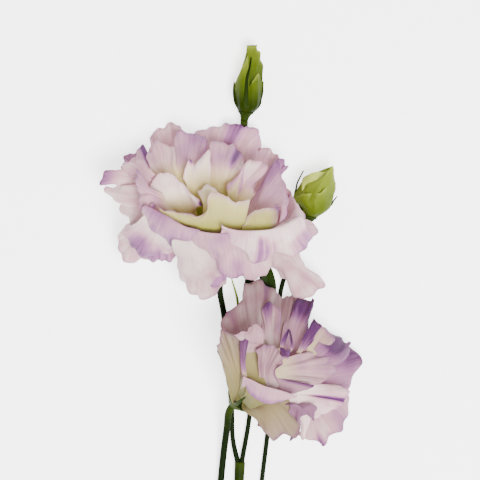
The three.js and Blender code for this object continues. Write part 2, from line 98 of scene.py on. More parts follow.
def drawingShift():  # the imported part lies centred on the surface; its cut end tells how far it was moved
    places = np.array([v.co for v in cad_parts["stem"].data.vertices]) / mm
    end = places[places[:, 1] < places[:, 1].min() + stemHabit["endDepth"]]
    shift = (end.min(0) + end.max(0)) / 2 - np.array(stemHabit["cutEnd"])
    shift[2] = 0
    return shift


# materials

class Wire:  # one socket, so that sums on values read as plain Python
    def __init__(self, finish, socket):
        self.finish = finish
        self.socket = socket

    def math(self, operation, first, second):
        return self.finish.node("ShaderNodeMath", {"operation": operation}, {0: first, 1: second})

    def __add__(self, other):
        return self.math("ADD", self, other)

    def __sub__(self, other):
        return self.math("SUBTRACT", self, other)

    def __rsub__(self, other):
        return self.math("SUBTRACT", other, self)

    def __mul__(self, other):
        return self.math("MULTIPLY", self, other)

    __radd__ = __add__
    __rmul__ = __mul__

    def within(self):  # kept between 0 and 1
        return self.math("MINIMUM", self.math("MAXIMUM", self, 0.0), 1.0)


class Finish:  # one material on the Principled shader
    def __init__(self, name, fixed):
        self.material = bpy.data.materials.new(name)
        self.material.use_nodes = True
        self.tree = self.material.node_tree
        self.shader = self.tree.nodes["Principled BSDF"]
        for socket, value in fixed.items():
            self.shader.inputs[socket].default_value = value

    def feed(self, socket, value):
        if isinstance(value, Wire):
            self.tree.links.new(value.socket, socket)
        else:
            socket.default_value = (*value, 1.0) if isinstance(value, tuple) else value

    def node(self, kind, settings, sockets, output=0):
        made = self.tree.nodes.new(kind)
        for key, value in settings.items():
            if key == "stops":
                elements = made.color_ramp.elements
                while len(elements) < len(value):
                    elements.new(0.5)
                for stop, (place, colour) in zip(elements, value):
                    stop.position = place
                    stop.color = (*colour, 1.0)
            else:
                setattr(made, key, value)
        for key, value in sockets.items():
            self.feed(made.inputs[key], value)
        return Wire(self, made.outputs[output])

    def value(self, name):  # a number stored on the mesh
        return self.node("ShaderNodeAttribute", {"attribute_name": name}, {}, "Fac")

    def ramp(self, by, stops):
        return self.node("ShaderNodeValToRGB", {"stops": stops}, {0: by})

    def blend(self, by, first, second, how="MIX"):  # 6, 7 and output 2 are the node's colour sockets
        settings = {"data_type": "RGBA", "blend_type": how}
        return self.node("ShaderNodeMix", settings, {0: by, 6: first, 7: second}, 2)

    def noise(self, where, scale, detail=2.0, rough=0.5):
        sockets = {"Vector": where, "Scale": scale, "Detail": detail, "Roughness": rough}
        return self.node("ShaderNodeTexNoise", {}, sockets, "Fac")

    def place(self, x, y):
        return self.node("ShaderNodeCombineXYZ", {}, {0: x, 1: y})

    def own(self):  # the piece's own coordinates, in metres
        return self.node("ShaderNodeTexCoord", {}, {}, "Object")

    def bump(self, height, distance, strength):
        sockets = {"Height": height, "Distance": distance, "Strength": strength}
        self.shaderIn("Normal", self.node("ShaderNodeBump", {}, sockets))

    def shaderIn(self, socket, value):
        self.feed(self.shader.inputs[socket], value)

    def thin(self, colour, share):  # lets light through a thin blade
        through = self.node("ShaderNodeBsdfTranslucent", {}, {"Color": colour})
        mixed = self.node("ShaderNodeMixShader", {}, {0: share})
        self.tree.links.new(self.shader.outputs[0], mixed.socket.node.inputs[1])
        self.tree.links.new(through.socket, mixed.socket.node.inputs[2])
        self.tree.links.new(mixed.socket, self.tree.nodes["Material Output"].inputs[0])


meshValues = ("along", "across", "run", "tint", "edge", "shade")

petalLook = dict(
    blush=[(0.0, (0.90, 0.735, 0.70)), (0.26, (0.62, 0.35, 0.40)), (0.55, (0.36, 0.15, 0.31)),
           (0.95, (0.085, 0.02, 0.11))],  # white, pink, lavender, violet
    glow=[(0.0, (0.34, 0.375, 0.03)), (0.45, (0.78, 0.66, 0.27))],  # yellow-green throat, cream
    # shade: the colour a petal is multiplied towards by its shade value: painted shade, with some of its own
    # greyer tone
    shade=(0.205, 0.19, 0.185), through=(0.88, 0.58, 0.62), throughShare=0.2, fadeStart=0.35,
    veins=(36, 2.4), fine=(130, 16), clouds=90.0,  # how often across and along a blade, and all over
    veinTint=0.26, cloudTint=0.6, edgeTint=0.16, relief=0.0004,
    fixed={"Roughness": 0.55, "Specular IOR Level": 0.15, "Sheen Weight": 0.05},
)


def petalFinish():
    look = petalLook
    finish = Finish("petal", look["fixed"])
    along, across, run, tint, edge, shade = [finish.value(name) for name in meshValues]
    veins = finish.noise(finish.place(across * look["veins"][0], run * look["veins"][1]), 1.0, 3.0, 0.6)
    clouds = finish.noise(finish.own(), look["clouds"])
    purple = (
        tint * (0.5 + veins) + (veins - 0.5) * look["veinTint"] + (clouds - 0.45) * look["cloudTint"]
        + edge * look["edgeTint"]
    )
    ground = finish.ramp(purple.within(), look["blush"])
    glow = finish.ramp((along + (veins - 0.5) * 0.12).within(), look["glow"])
    soft = {"interpolation_type": "SMOOTHSTEP"}
    fade = finish.node("ShaderNodeMapRange", soft, {0: along, 1: look["fadeStart"], 2: 1.0})
    strong = (tint * 1.3 - 0.3).within()  # a strong streak shows on the throat too
    colour = finish.blend((fade + strong + edge * 0.8).within(), glow, ground)
    # each petal's shade darkens its colour: painted shade, partly its own greyer tone
    finish.shaderIn("Base Color", finish.blend(shade, colour, look["shade"], "MULTIPLY"))
    fine = finish.noise(finish.place(across * look["fine"][0], run * look["fine"][1]), 1.0)
    finish.bump(veins * 0.9 + fine * 0.3 + clouds * 0.4, look["relief"], 0.7)
    finish.thin(look["through"], look["throughShare"])
    return finish.material


# the colours from foot to tip, the roughness, how many ribs run across, and the share of light let through
greens = dict(
    calyx=([(0.0, (0.024, 0.04, 0.0005)), (1.0, (0.008, 0.017, 0.0003))], 0.6, 8, 0),
    stem=([(0.0, (0.003, 0.008, 0.0005)), (0.85, (0.003, 0.008, 0.0005)), (1.0, (0.018, 0.03, 0.002))],
          0.6, 5, 0),
    leaf=([(0.0, (0.005, 0.012, 0.001)), (1.0, (0.010, 0.024, 0.001))], 0.5, 9, 0.05),
    bract=([(0.0, (0.10, 0.17, 0.02)), (1.0, (0.14, 0.22, 0.03))], 0.5, 4, 0),
    bud=([(0.06, (0.014, 0.026, 0.001)), (0.34, (0.07, 0.10, 0.005)), (0.6, (0.16, 0.20, 0.018)),
          (0.8, (0.23, 0.28, 0.025)), (0.97, (0.42, 0.48, 0.09))], 0.5, 14, 0.12),
    budCalyx=([(0.0, (0.014, 0.026, 0.001)), (1.0, (0.005, 0.011, 0.001))], 0.6, 8, 0),
    pistil=([(0.0, (0.30, 0.42, 0.10)), (1.0, (0.50, 0.60, 0.16))], 0.4, 6, 0),
    anther=([(0.5, (0.66, 0.66, 0.34)), (0.62, (0.70, 0.48, 0.05)), (1.0, (0.70, 0.45, 0.04))], 0.7, 6, 0),
)
greenLook = dict(
    ribs=(0.7, 0.75, 0.5), ribShare=0.35, edgeShare=0.3, clouds=160.0, uneven=0.25, relief=0.0002,
)


def greenFinish(name, stops, roughness, ribCount, through):
    look = greenLook
    finish = Finish(name, {"Roughness": roughness, "Specular IOR Level": 0.04})
    along = finish.value("along")
    across = finish.value("across")
    ribs = finish.noise(finish.place(across * ribCount, along * 3), 1.0)
    clouds = finish.noise(finish.own(), look["clouds"], 3.0)
    colour = finish.ramp((along + (clouds - 0.5) * look["uneven"]).within(), stops)
    colour = finish.blend(ribs * look["ribShare"], colour, look["ribs"], "MULTIPLY")
    colour = finish.blend(finish.value("edge") * look["edgeShare"], colour, stops[-1][1])
    finish.shaderIn("Base Color", colour)
    finish.shaderIn("Roughness", roughness + (clouds - 0.5) * look["uneven"])
    finish.bump(ribs + clouds * 0.5, look["relief"], 0.5)
    if through:
        finish.thin(stops[-1][1], through)
    return finish.material


# meshes
clearance = 0.05  # mm between the lowest places and the surface


def makePiece(name, parts, material, nodes, shift):
    # parts are sheets and tubes: places in mm, faces, and numbers for the material at each place
    places = np.vstack([part["places"] for part in parts]) + shift
    places[:, 2] = np.maximum(places[:, 2], clearance)
    faces = []
    start = 0
    for part in parts:
        faces += [tuple(i + start for i in face) for face in part["faces"]]
        start += len(part["places"])
    mesh = bpy.data.meshes.new(name)
    mesh.from_pydata((places * mm).tolist(), [], faces)
    for label in meshValues:
        values = np.concatenate([part.get(label, np.zeros(len(part["places"]))) for part in parts])
        mesh.attributes.new(label, "FLOAT", "POINT").data.foreach_set("value", values.astype(np.float32))
    mesh.polygons.foreach_set("use_smooth", [True] * len(mesh.polygons))
    mesh.materials.append(material)
    piece = bpy.data.objects.new(name, mesh)
    bpy.context.scene.collection.objects.link(piece)
    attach(piece, "root")
    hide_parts(*nodes)
    print(name, len(mesh.polygons), "faces")


def ringFaces(rings, sides):  # a closed skin over rings of points, with a point at each end
    faces = []
    last = rings * sides + 1
    for j in range(sides):
        k = (j + 1) % sides
        faces.append((0, 1 + k, 1 + j))
        faces.append((last, last - sides + j, last - sides + k))
        for i in range(rings - 1):
            a = 1 + i * sides
            faces.append((a + j, a + k, a + sides + k, a + sides + j))
    return faces


def skin(rings, along):  # rings: (rings, sides, 3)
    count, sides = rings.shape[:2]
    turn = np.abs(np.linspace(-1, 1, sides, endpoint=False))
    return dict(
        places=np.vstack([rings[0].mean(0), rings.reshape(-1, 3), rings[-1].mean(0)]),
        faces=ringFaces(count, sides),
        along=np.concatenate([[along[0]], np.repeat(along, sides), [along[-1]]]),
        across=np.concatenate([[0], np.tile(turn, count), [0]]),
    )


def tube(points, widths, depths=None, rings=90, sides=14, facing=(0.3, 0, 1)):
    t = np.linspace(0, 1, rings)
    line = evenly(points, t)
    tangent = unit(np.gradient(line, axis=0))
    side = unit(np.cross(facing, tangent))
    out = np.cross(tangent, side)
    angle = np.arange(sides) * 2 * math.pi / sides
    sideways = np.outer(between(widths, t) / 2, np.cos(angle))[..., None]
    outwards = np.outer(between(depths or widths, t) / 2, np.sin(angle))[..., None]
    return skin(line[:, None] + side[:, None] * sideways + out[:, None] * outwards, t)


def turnedBody(base, axis, profile, sides=28, high=1.0):  # profile: heights along the axis and radii, in mm
    axis = unit(axis)
    side = unit(np.cross(axis, (0.2, 0.1, 1.0)))
    out = np.cross(axis, side)
    angle = np.arange(sides) * 2 * math.pi / sides
    around = side * np.cos(angle)[:, None] + out * np.sin(angle)[:, None]
    dense = evenly(profile, np.linspace(0, 1, profileDetail * len(profile)))
    rings = np.stack([np.asarray(base) + axis * h + around * max(r, thinnest) for h, r in dense])
    return skin(rings, np.linspace(0, high, len(dense)))


def bladeNormal(middle):
    return unit(np.cross(np.gradient(middle, axis=0), np.gradient(middle, axis=1)))


def sheet(middle, normal, thick, values):  # a thin closed blade from its middle surface
    rows, columns = middle.shape[:2]
    half = normal * thick[..., None] / 2
    count = rows * columns
    faces = []
    for i in range(rows - 1):
        for j in range(columns - 1):
            a = i * columns + j
            faces.append((a, a + columns, a + columns + 1, a + 1))
            faces.append((count + a, count + a + 1, count + a + columns + 1, count + a + columns))
    for i in range(rows - 1):
        a = i * columns
        b = a + columns - 1
        faces.append((a, count + a, count + a + columns, a + columns))
        faces.append((b, b + columns, count + b + columns, count + b))
    for j in range(columns - 1):
        b = (rows - 1) * columns + j
        faces.append((j, j + 1, count + j + 1, count + j))
        faces.append((b, count + b, count + b + 1, b + 1))
    places = np.vstack([(middle + half).reshape(-1, 3), (middle - half).reshape(-1, 3)])
    part = dict(places=places, faces=faces)
    for label, value in values.items():
        part[label] = np.tile(value.ravel(), 2)
    return part


# petals
# lines: from the foot of the part that shows to its margin. Each has its height, or heights laid along it,
# and then its points as seen from above, in mm from the bloom's base. green: how far from that foot, in mm,
# the yellow-green of the throat starts to fade and has gone, both below 0 for none. tint: how purple,
# shade: how much darker the petal is painted, partly its own greyer tone and partly painted shade where it
# lies in shadow; below 0 it takes back some of the bloom's shade, a painted highlight. streaks: place along
# the margin from -1 to 1, breadth, strength, and how far up the blade it begins. folds: place, rise,
# breadth.
# ruffle: depth and waves. fine: crumpling, fringe: ragged rim, curl: how far the rim turns back, cup:
# hollow.
# throat, root and belly: where the hidden foot stands and how far the blade swells out.
petalHabit = dict(
    throat=2.2, root=2, belly=2.0, ruffle=(0.9, 2.6), fine=0.3, fringe=0.27, curl=1.1, cup=0.0, tint=0.12,
    green=(-14, 8), streaks=(), folds=(), thick=0.32, shade=0.0,
)
# the same for all petals, in mm: half the foot, the space between creases, how far in from the rim it
# curls, is tinted and is thinned, the size of the vein pattern, and how high a petal lies on the surface.
# the Reach numbers: the share of the blade over which a fold or a streak grows. the Keep numbers: how much
# crumples and rags keep to the margin. rimThick: the rim's share of the thickness.
# waves: how many across, how many along, strength, how much they keep to the margin, and their draw
petalForm = dict(
    foot=1.6, creases=4.5, curled=3.2, tinted=1.6, thinned=1.5, pattern=40, lying=0.4, foldReach=0.6,
    streakReach=0.3, crumpleKeep=0.7, ragKeep=6, rimThick=0.35, curlRound=1.6, curlWaves=3.1,
    ruffles=[(1, 0, 1, 2, 0), (2.3, 0, 0.5, 4, 1)],
    crumples=[(1, 5, 1, 0, 3), (1.8, -7, 0.6, 0, 4), (0.5, 9, 0.6, 0, 5), (3.1, 3, 0.9, 4, 8)],
    rags=[(2.3, 0, 1, 0, 9), (4.1, 0, 0.8, 0, 10), (7.3, 0, 0.6, 0, 2)],
)
hiddenRows = 6
shownRows = 30
petalColumns = 40


def shownSide(middle):  # the normals on the side of a petal that faces up
    normal = bladeNormal(middle)
    return normal if normal[hiddenRows:, :, 2].mean() > 0 else -normal


def petalSheet(bloom, petal, seed):
    p = {**petalHabit, **petal}
    form = petalForm
    axis = unit(bloom["axis"])
    phase = [drawn(seed, k) * 2 * math.pi for k in range(12)]

    def waves(table, often):
        return sum(
            strength * w**keep * np.sin(across * often * place + along * w + phase[k])
            for across, along, strength, keep, k in form[table]
        )

    v = np.linspace(0, 1, petalColumns + 1)
    place = 2 * v - 1
    lines = [
        np.column_stack([evenly(points, v), between(heights, v) * bloom["rise"]])
        for heights, *points in p["lines"]
    ]

    # from the receptacle the blade swells out to where it shows
    heading = lines[0].mean(0)
    radial = unit(heading - axis * (axis @ heading))
    side = np.cross(axis, radial)
    order = 1.0 if (lines[0][-1] - lines[0][0]) @ side > 0 else -1.0
    root = radial * p["throat"] + axis * p["root"] + side * order * form["foot"] * place[:, None]
    belly = 0.5 * (root + lines[0]) + radial * p["belly"]
    stack = np.stack([root, belly, *lines])
    run = np.concatenate([[0], np.cumsum(np.linalg.norm(np.diff(stack, axis=0), axis=2).mean(1))])
    places = np.concatenate([
        np.linspace(0, run[2], hiddenRows, endpoint=False), np.linspace(run[2], run[-1], shownRows + 1)
    ])
    t = np.interp(places, run, np.linspace(0, 1, len(stack)))
    middle = alongCurve(stack.reshape(len(stack), -1), t).reshape(len(t), petalColumns + 1, 3)
    shown = run[-1] - run[2]
    w = np.clip((places - run[2]) / shown, 0, 1)[:, None]

    # ruffled, crumpled and curled back along the margin
    across = np.linalg.norm(np.diff(middle, axis=1), axis=2).sum(1)[:, None]
    width = np.maximum(across[hiddenRows:].mean(), 4)
    close = width / form["creases"]
    fromSide = np.minimum(v, 1 - v) * across
    fromEdge = np.minimum((1 - w) * shown, fromSide * w + (1 - w) * 3)
    depth, ruffles = p["ruffle"]
    lift = depth * waves("ruffles", ruffles * math.pi) + p["cup"] * (1 - place**2) * smooth(w * 2)
    lift = lift + p["fine"] * w ** form["crumpleKeep"] * waves("crumples", close)
    curled = smooth(1 - fromEdge / form["curled"]) ** form["curlRound"]
    lift = lift - p["curl"] * curled * (0.6 + 0.6 * np.sin(form["curlWaves"] * place + phase[7]))
    for where, rise, breadth in p["folds"]:
        lift = lift + rise * hump(place, where, breadth) * smooth(w / form["foldReach"])
    middle = middle + shownSide(middle) * lift[..., None]
    ragged = p["fringe"] * waves("rags", close) * w ** form["ragKeep"]
    middle = middle + unit(np.gradient(middle, axis=0)) * ragged[..., None]
    low = form["lying"] - bloom["base"][2]  # a petal that reaches the surface lies on it
    above = middle[..., 2] - low
    middle[..., 2] = low + np.where(above > 1, above, np.exp(above - 1))

    flat = np.ones_like(lift)
    begins = 1 if p["green"][1] < 0 else smooth(w / 0.8 + 0.2)  # the throat itself isn't tinted
    tint = (p["tint"] + bloom["blush"]) * begins * flat
    for where, breadth, strength, begin in p["streaks"]:
        tint = tint + strength * hump(place, where, breadth) * smooth((w - begin) / form["streakReach"])
    distance = (places - run[2])[:, None] * flat
    fades, gone = p["green"]
    rim = form["rimThick"]
    thick = p["thick"] * (rim + (1 - rim) * smooth(fromEdge / form["thinned"]))
    return sheet(middle, shownSide(middle), thick, dict(
        along=np.clip((distance - fades) / (gone - fades), 0, 1),
        across=place * flat * width / form["pattern"] + 3.7 * (seed % 97),
        run=distance / form["pattern"],
        tint=np.clip(tint, 0, 1),
        edge=np.clip(1 - fromEdge / form["tinted"], 0, 1) * smooth(w * 4),
        # painted shade, with some of the petal's own greyer tone, from petal and bloom together
        shade=flat * (p["shade"] + bloom["shade"]),
    ))


# blush and shade are added to the tint and shade of each petal; the bloom's shade paints all its petals
# darker, partly their own tone and partly painted shade. rise scales the petals' heights, core their
# grown-together feet, dish the cup of the calyx. sepalTurn: the angle of the first sepal
mainBloom = dict(
    base=(-4.8, -2.8, 16.5), axis=(0.05, 0.8, 0.6), seed=100, blush=0.06, shade=0.03, rise=1.35, core=1,
    dish=1, sepalTurn=20,
)
# shade paints these petals darker where they lie in shade: the throat's walls innerFront and innerRight, and
# the lower front petals frontLeft, frontCentre, bottomRight and right
mainBloom["petals"] = dict(
    backCentre=dict(tint=0.24, streaks=[(0.12, 0.16, 0.5, 0.45)], lines=[
        (-2, (-12, 24), (10, 24)),
        (-6, (-15, 38), (0, 40), (12.5, 38)),
        ([-11, -11, -10, -7, -6.5, -7.5, -9], (-15.5, 42.5), (-13, 45.9), (-8, 48.6), (-3, 49.2), (2, 49.2),
            (5.5, 48.4), (6, 47.4), (8, 48), (11, 47.6), (12.6, 44.8), (13.2, 41), (12.6, 38))]),
    backLeft=dict(tint=0.18, lines=[
        (-2, (-27, 24), (-14, 26)),
        (-6, (-30, 34), (-14, 37)),
        (-11, (-32.5, 38), (-32, 41.5), (-30.6, 44.3), (-27.4, 48), (-23.2, 49.8), (-20, 49), (-17.8, 47.6),
            (-16.2, 44.8), (-14.5, 41))]),
    rightUpper=dict(tint=0.16, lines=[
        (-2, (4, 20), (10, 16)),
        (-8, (10, 40.5), (12.5, 39.8), (16.8, 39.9), (19.4, 37.5), (20.3, 34.5), (21.5, 30), (22, 25))]),
    rightRagged=dict(tint=0.45, fringe=0.4, ruffle=(0.4, 2), lines=[
        (0, (10, 18), (13, 14)),
        (-4, (18, 33), (20.1, 34.8), (22, 34.5), (22.8, 32.8), (24.7, 32.4), (22.1, 30.8), (21.8, 28),
            (22.6, 24), (23.2, 20))]),
    leftBehind=dict(tint=0.5, lines=[
        (-4, (-30, 24), (-26, 28)),
        (-8, (-43.5, 30), (-42.3, 32.8), (-41.2, 35.8), (-38.9, 37.5), (-35.2, 38.8), (-31, 39))]),
    leftUpper=dict(tint=0.2, streaks=[(0.35, 0.13, 0.8, 0.2)], lines=[
        (2, (-24, 18), (-20, 26)),
        (1, (-35, 27), (-27, 33)),
        (-5, (-44, 29), (-42.5, 32), (-39, 35), (-35.5, 38.5), (-34, 40.4), (-32.8, 40.3), (-31.5, 39.5),
            (-28, 37))]),
    leftTip=dict(tint=0.16, fringe=0.06, curl=0.5, ruffle=(0.5, 1.5), streaks=[(0, 1.5, 0.5, 0.7)], lines=[
        (6, (-30, 20), (-30, 27)),
        (4, (-38, 22.4), (-38, 30)),
        (3, (-43, 23.4), (-42.5, 30.4)),
        (1, (-45, 24.6), (-50.2, 24.4), (-49.6, 27.2), (-48.4, 30.2), (-47, 30.7), (-44.5, 30.2))]),
    leftLower=dict(tint=0.06, green=(-30, -12), ruffle=(1.0, 2.2), fringe=0.12,
        folds=[(0.3, 1.2, 0.18)], lines=[
        (7, (-26, 3), (-30, 24)),
        (5, (-34, 5), (-41, 24)),
        ([0, 0, -2], (-37.5, 6), (-39.3, 9), (-40.5, 12.5), (-42.8, 15.5), (-44, 17.5), (-46.5, 20.2),
            (-48.2, 22.1), (-46.5, 23.4), (-43, 24.5))]),
    lowerLeft=dict(tint=0.14, shade=0.12, fringe=0.12, lines=[
        (8, (-24, 2), (-30, 12)),
        (5, (-33, -2), (-38, 10)),
        (-4, (-31, -4.5), (-33.3, -6.3), (-36, -7), (-39, -6.3), (-41.8, -4.3), (-43.6, -1.5), (-43.7, 2),
            (-42.5, 6.5), (-40, 10.5), (-38, 12))]),
    lowerLeftUnder=dict(tint=0.55, lines=[
        (5, (-20, 2), (-30, 4)),
        (-2, (-19, -2), (-21.2, -4.2), (-25, -5.9), (-30.5, -6), (-34.5, -4.4), (-36, -2))]),
    lowerLeftInner=dict(tint=0.14, shade=0.06,
        streaks=[(0.25, 0.4, 0.55, 0.4), (-0.3, 0.12, 0.4, 0.65)], lines=[
        (15, (-15, 5), (-29, 14)),
        (12, (-21, 0.5), (-36, 9)),
        (3, (-15.5, -0.4), (-21.5, -2), (-25, -3.4), (-30, -4), (-35.5, -3.2), (-39, -0.2), (-40.8, 4),
            (-39.5, 9))]),
    leftFold=dict(tint=0.3, streaks=[(-1, 0.15, 0.6, 0.8)], lines=[
        (10, (-22, 13), (-24, 20)),
        (15, (-29, 17), (-31, 24)),
        ([17, 14, 12, 10], (-28, 16.6), (-29.9, 15.2), (-32.2, 13.9), (-33.7, 15.5), (-34.5, 19),
            (-35.2, 22), (-35.3, 25.2), (-36.2, 28.5), (-36.5, 31))]),
    frontLeftFold=dict(tint=0.36, shade=0.06, green=(-30, -12),
        streaks=[(0.3, 0.3, 0.5, 0.3), (-0.4, 0.1, 0.3, 0.2)], ruffle=(0.5, 3), lines=[
        ([18, 22, 24], (-31.5, 16), (-27.9, 14.2), (-23.9, 12.1), (-19.9, 9.5), (-15.9, 7.8), (-11, 6.6)),
        ([15, 19, 20], (-33, 14), (-28, 8.5), (-22, 5), (-16, 4), (-12, 4)),
        ([8, 10, 12], (-33.5, 13.2), (-31.8, 10.5), (-29.9, 6.8), (-26.5, 3.4), (-23.2, 1.1), (-21.2, -0.9),
            (-19.2, -1.6), (-17.2, -0.3), (-14.5, 1.6), (-12, 2))]),
    frontLeft=dict(tint=0.08, shade=0.24, fringe=0.16, green=(-8, 4), cup=1.2,
        streaks=[(0.6, 0.1, 0.3, 0.5), (-0.2, 0.06, 0.15, 0.5)], lines=[
        (17, (-21, 3), (-16, 4), (-9, 3)),
        (12, (-20.5, -3), (-14, -6), (-4, -6)),
        (-2, (-20.5, -4.5), (-19, -8), (-17.9, -11.5), (-16.9, -14.8), (-16.4, -17.3), (-13.5, -18.2),
            (-11.2, -18.2), (-9.5, -19.3), (-7.2, -19.3), (-4, -17.2), (-2.5, -14.5), (0, -12))]),
    frontLeftSmall=dict(tint=0.5, ruffle=(0.4, 2), lines=[
        (7, (-6, -5), (1, -5)),
        (3, (-7, -8), (-7.5, -10.5), (-7.2, -13), (-6.5, -16), (-4, -16.2), (-1, -13.5), (1.5, -11))]),
    frontCentre=dict(tint=0.22, shade=0.14, green=(-30, -12),
        streaks=[(-0.3, 0.12, 0.15, 0.4), (0.15, 0.14, 0.2, 0.4)],
        folds=[(-0.15, 1.2, 0.12), (0.35, -1.0, 0.15)], lines=[
        ([22, 24, 25, 20], (-15, 7), (-8, 5.6), (-3.2, 5.2), (2, 5), (12, 1)),
        ([19, 19, 16, 12], (-13.8, 3.5), (-7, 0), (0, -3), (8, -5), (17, -4)),
        ([15, 13, 11, 8], (-13.5, 1.8), (-11.5, 1.1), (-9.2, -1.9), (-6.5, -5.2), (-3.9, -7.2),
            (-1.2, -9.2), (1.1, -11.5), (3.5, -12), (5.5, -12.2), (6.1, -13.9), (10.1, -13.2),
            (14.1, -11.5), (17.5, -9.2), (19.3, -7.8))]),
    bottomRight=dict(tint=0.08, shade=0.26, fringe=0.1, curl=0.7, streaks=[(0.3, 0.2, 0.12, 0.4)],
        green=(-30, -12), lines=[
        (8, (13, -2), (26, 1)),
        (3, (16.5, -7), (29, -5)),
        (-6, (20.8, -10.5), (24.1, -13.9), (25.2, -17.5), (26.5, -20), (29.5, -20.6), (32, -20),
            (35.5, -18.5), (38.8, -15.2), (36.5, -12), (34, -9))]),
    right=dict(tint=0.2, shade=0.24, fringe=0.06, curl=0.6, fine=0.2, green=(-30, -12),
        streaks=[(0.0, 0.5, 0.2, 0.7)], lines=[
        ([23, 20, 16, 12], (18, 7), (23, 10), (26, 15), (24, 20)),
        ([9, 8, 8, 10], (31.5, 1.5), (33.5, 3.5), (34.9, 6.5), (34.2, 9.2), (31.5, 12), (28, 15),
            (25, 18.2), (22.9, 20.2), (22.5, 23))]),
    frontRight=dict(tint=0.06, green=(-30, -12), fringe=0.14, curl=0.8, ruffle=(0.7, 2.8),
        streaks=[(-0.08, 0.06, 0.65, 0.1), (0.06, 0.035, 0.45, 0.2), (0.2, 0.03, 0.3, 0.2),
            (0.8, 0.25, 0.4, 0.3)], lines=[
        ([26, 26, 25, 21], (-2.2, 8.1), (0.5, 7.1), (4.1, 6.4), (10.1, 6.2), (16.8, 6.8), (21, 8.1),
            (25.5, 10.1), (28, 12)),
        ([25, 23, 21, 17], (-2, 7.6), (3, 3), (11, 0), (19, 1), (26, 3.5), (30.5, 8)),
        ([25, 20, 17, 15, 12], (-3, 8.9), (-1.5, 7.5), (-1.2, 4.8), (1.5, 0.8), (5.5, -1.9), (7.5, -4.5),
            (10.1, -6.2), (13.5, -5.9), (17.5, -4.5), (20, -3.9), (24.8, -3.9), (27.5, -2.2), (31.5, 1.5),
            (33.8, 3.1), (33.5, 4.5))]),
    midLeftLow=dict(tint=0.16, lines=[
        (6, (-20, 14), (-18, 20)),
        (8, (-33, 22), (-30, 30)),
        (3, (-36, 21), (-37, 25), (-40, 28), (-42, 30.5), (-41, 32.5), (-37, 34.5), (-33, 35))]),
    midLeft=dict(tint=0.14, green=(2, 22), lines=[
        (4, (-22, 15), (-14, 18)),
        (5, (-29, 27), (-19, 30)),
        (-2, (-33, 34), (-31.5, 38.5), (-30, 40.5), (-27.2, 41.1), (-23.2, 40.8), (-21, 39.3), (-20, 36))]),
    midBackLeft=dict(tint=0.28, green=(0, 18), streaks=[(0.6, 0.05, 0.8, 0.85), (0.5, 0.3, 0.15, 0.6)],
        folds=[(-0.1, 0.8, 0.15)], lines=[
        (3, (-19, 19), (-9, 20)),
        (5, (-21.5, 30), (-9, 31)),
        (-2, (-21.2, 36), (-21.4, 40), (-20.5, 43.5), (-18.5, 45.4), (-15.9, 45.2), (-11.9, 45.5),
            (-9.9, 44.1), (-8.5, 42.6), (-7.2, 41.6), (-7, 38.5), (-8.5, 35))]),
    midBack=dict(tint=0.2, green=(-2, 16), streaks=[(0.3, 0.16, 0.7, 0.45), (0.2, 0.06, 0.4, 0.85)],
        folds=[(0.35, -0.8, 0.12)], lines=[
        (4, (-7, 19), (2, 19)),
        (6, (-7.5, 30), (4.5, 29)),
        (-1, (-7.5, 36), (-7.2, 40.5), (-6, 41.4), (-2.5, 42), (2, 41.8), (3.5, 40.2), (5.5, 38),
            (7.2, 36.5), (7.2, 34.5), (5.5, 31))]),
    midRight=dict(tint=0.14, green=(-4, 12), lines=[
        (5, (1, 18), (6, 14)),
        (8, (3, 26), (11, 21)),
        (6, (6, 32), (8, 34), (10, 34.1), (13.5, 33.4), (15.4, 31.9), (15.5, 30), (13.2, 27), (10, 23.5),
            (8, 21))]),
    purpleRight=dict(tint=0.28, green=(-10, 6), ruffle=(0.5, 2), streaks=[(-0.45, 0.3, 0.35, 0.55)],
        folds=[(-0.2, 1.0, 0.2)], lines=[
        ([6, 10, 14], (5.5, 7.5), (9, 8), (15, 8.5)),
        ([7, 12, 17], (8, 17.5), (14, 19), (20, 14)),
        ([5, 5, 6, 13, 20, 22], (12.5, 22.5), (15, 26), (16.8, 29.5), (17.6, 32.3), (19.2, 33.8),
            (20.8, 31.2), (20.8, 27.5), (22.5, 24), (22.8, 20.8), (21.5, 13.5), (19, 9.5))]),
    innerBack=dict(tint=0.0, shade=-0.03, green=(0, 21), streaks=[(-0.42, 0.06, 2, 0.84)], ruffle=(0.3, 2),
        fringe=0.1, lines=[
        (6, (-13, 14), (-7.2, 16)),
        (8, (-16, 24), (-7, 25)),
        (9, (-17.3, 27), (-16.6, 30.4), (-15.3, 34.2), (-14.5, 34.2), (-13.4, 31), (-10.9, 33.8),
            (-8.5, 36.8), (-7.3, 38.2), (-7, 34), (-7, 30))]),
    innerBackRight=dict(tint=0.2, green=(-4, 10), ruffle=(0.3, 1), lines=[
        (8, (0, 19), (3, 17)),
        (10, (0.5, 23), (2.5, 25.5), (4, 28), (5.2, 31), (6.4, 31.5), (5.5, 27.5), (4, 23))]),
    innerLeft=dict(tint=-0.04, shade=-0.03, green=(-9, 13), cup=-1.0, ruffle=(0.3, 2), curl=0.6,
        streaks=[(-0.95, 0.09, 2, 0.8)], lines=[
        (8, (-12, 13.5), (-23, 13)),
        ([12, 11, 11], (-12, 15.4), (-20, 21), (-27, 18)),
        ([15, 12, 10], (-9.8, 15.8), (-11.2, 18), (-13.4, 18.6), (-15.3, 21), (-18.3, 24.3), (-21.5, 27.6),
            (-25, 28.8), (-28.5, 27.5), (-30.2, 24), (-30, 19.5))]),
    innerBed=dict(tint=-0.1, green=(-8, 20), ruffle=(0.2, 1), lines=[
        (14, (-9.5, 12), (-3, 12)),
        (15, (-9.5, 17), (-6, 18), (-2, 17)),
        (12, (-12, 22), (-8.5, 24.5), (-3, 22))]),
    innerRight=dict(tint=0.03, shade=0.38, green=(1, 18), streaks=[(1, 0.4, 0.6, -0.5)], ruffle=(0.3, 2),
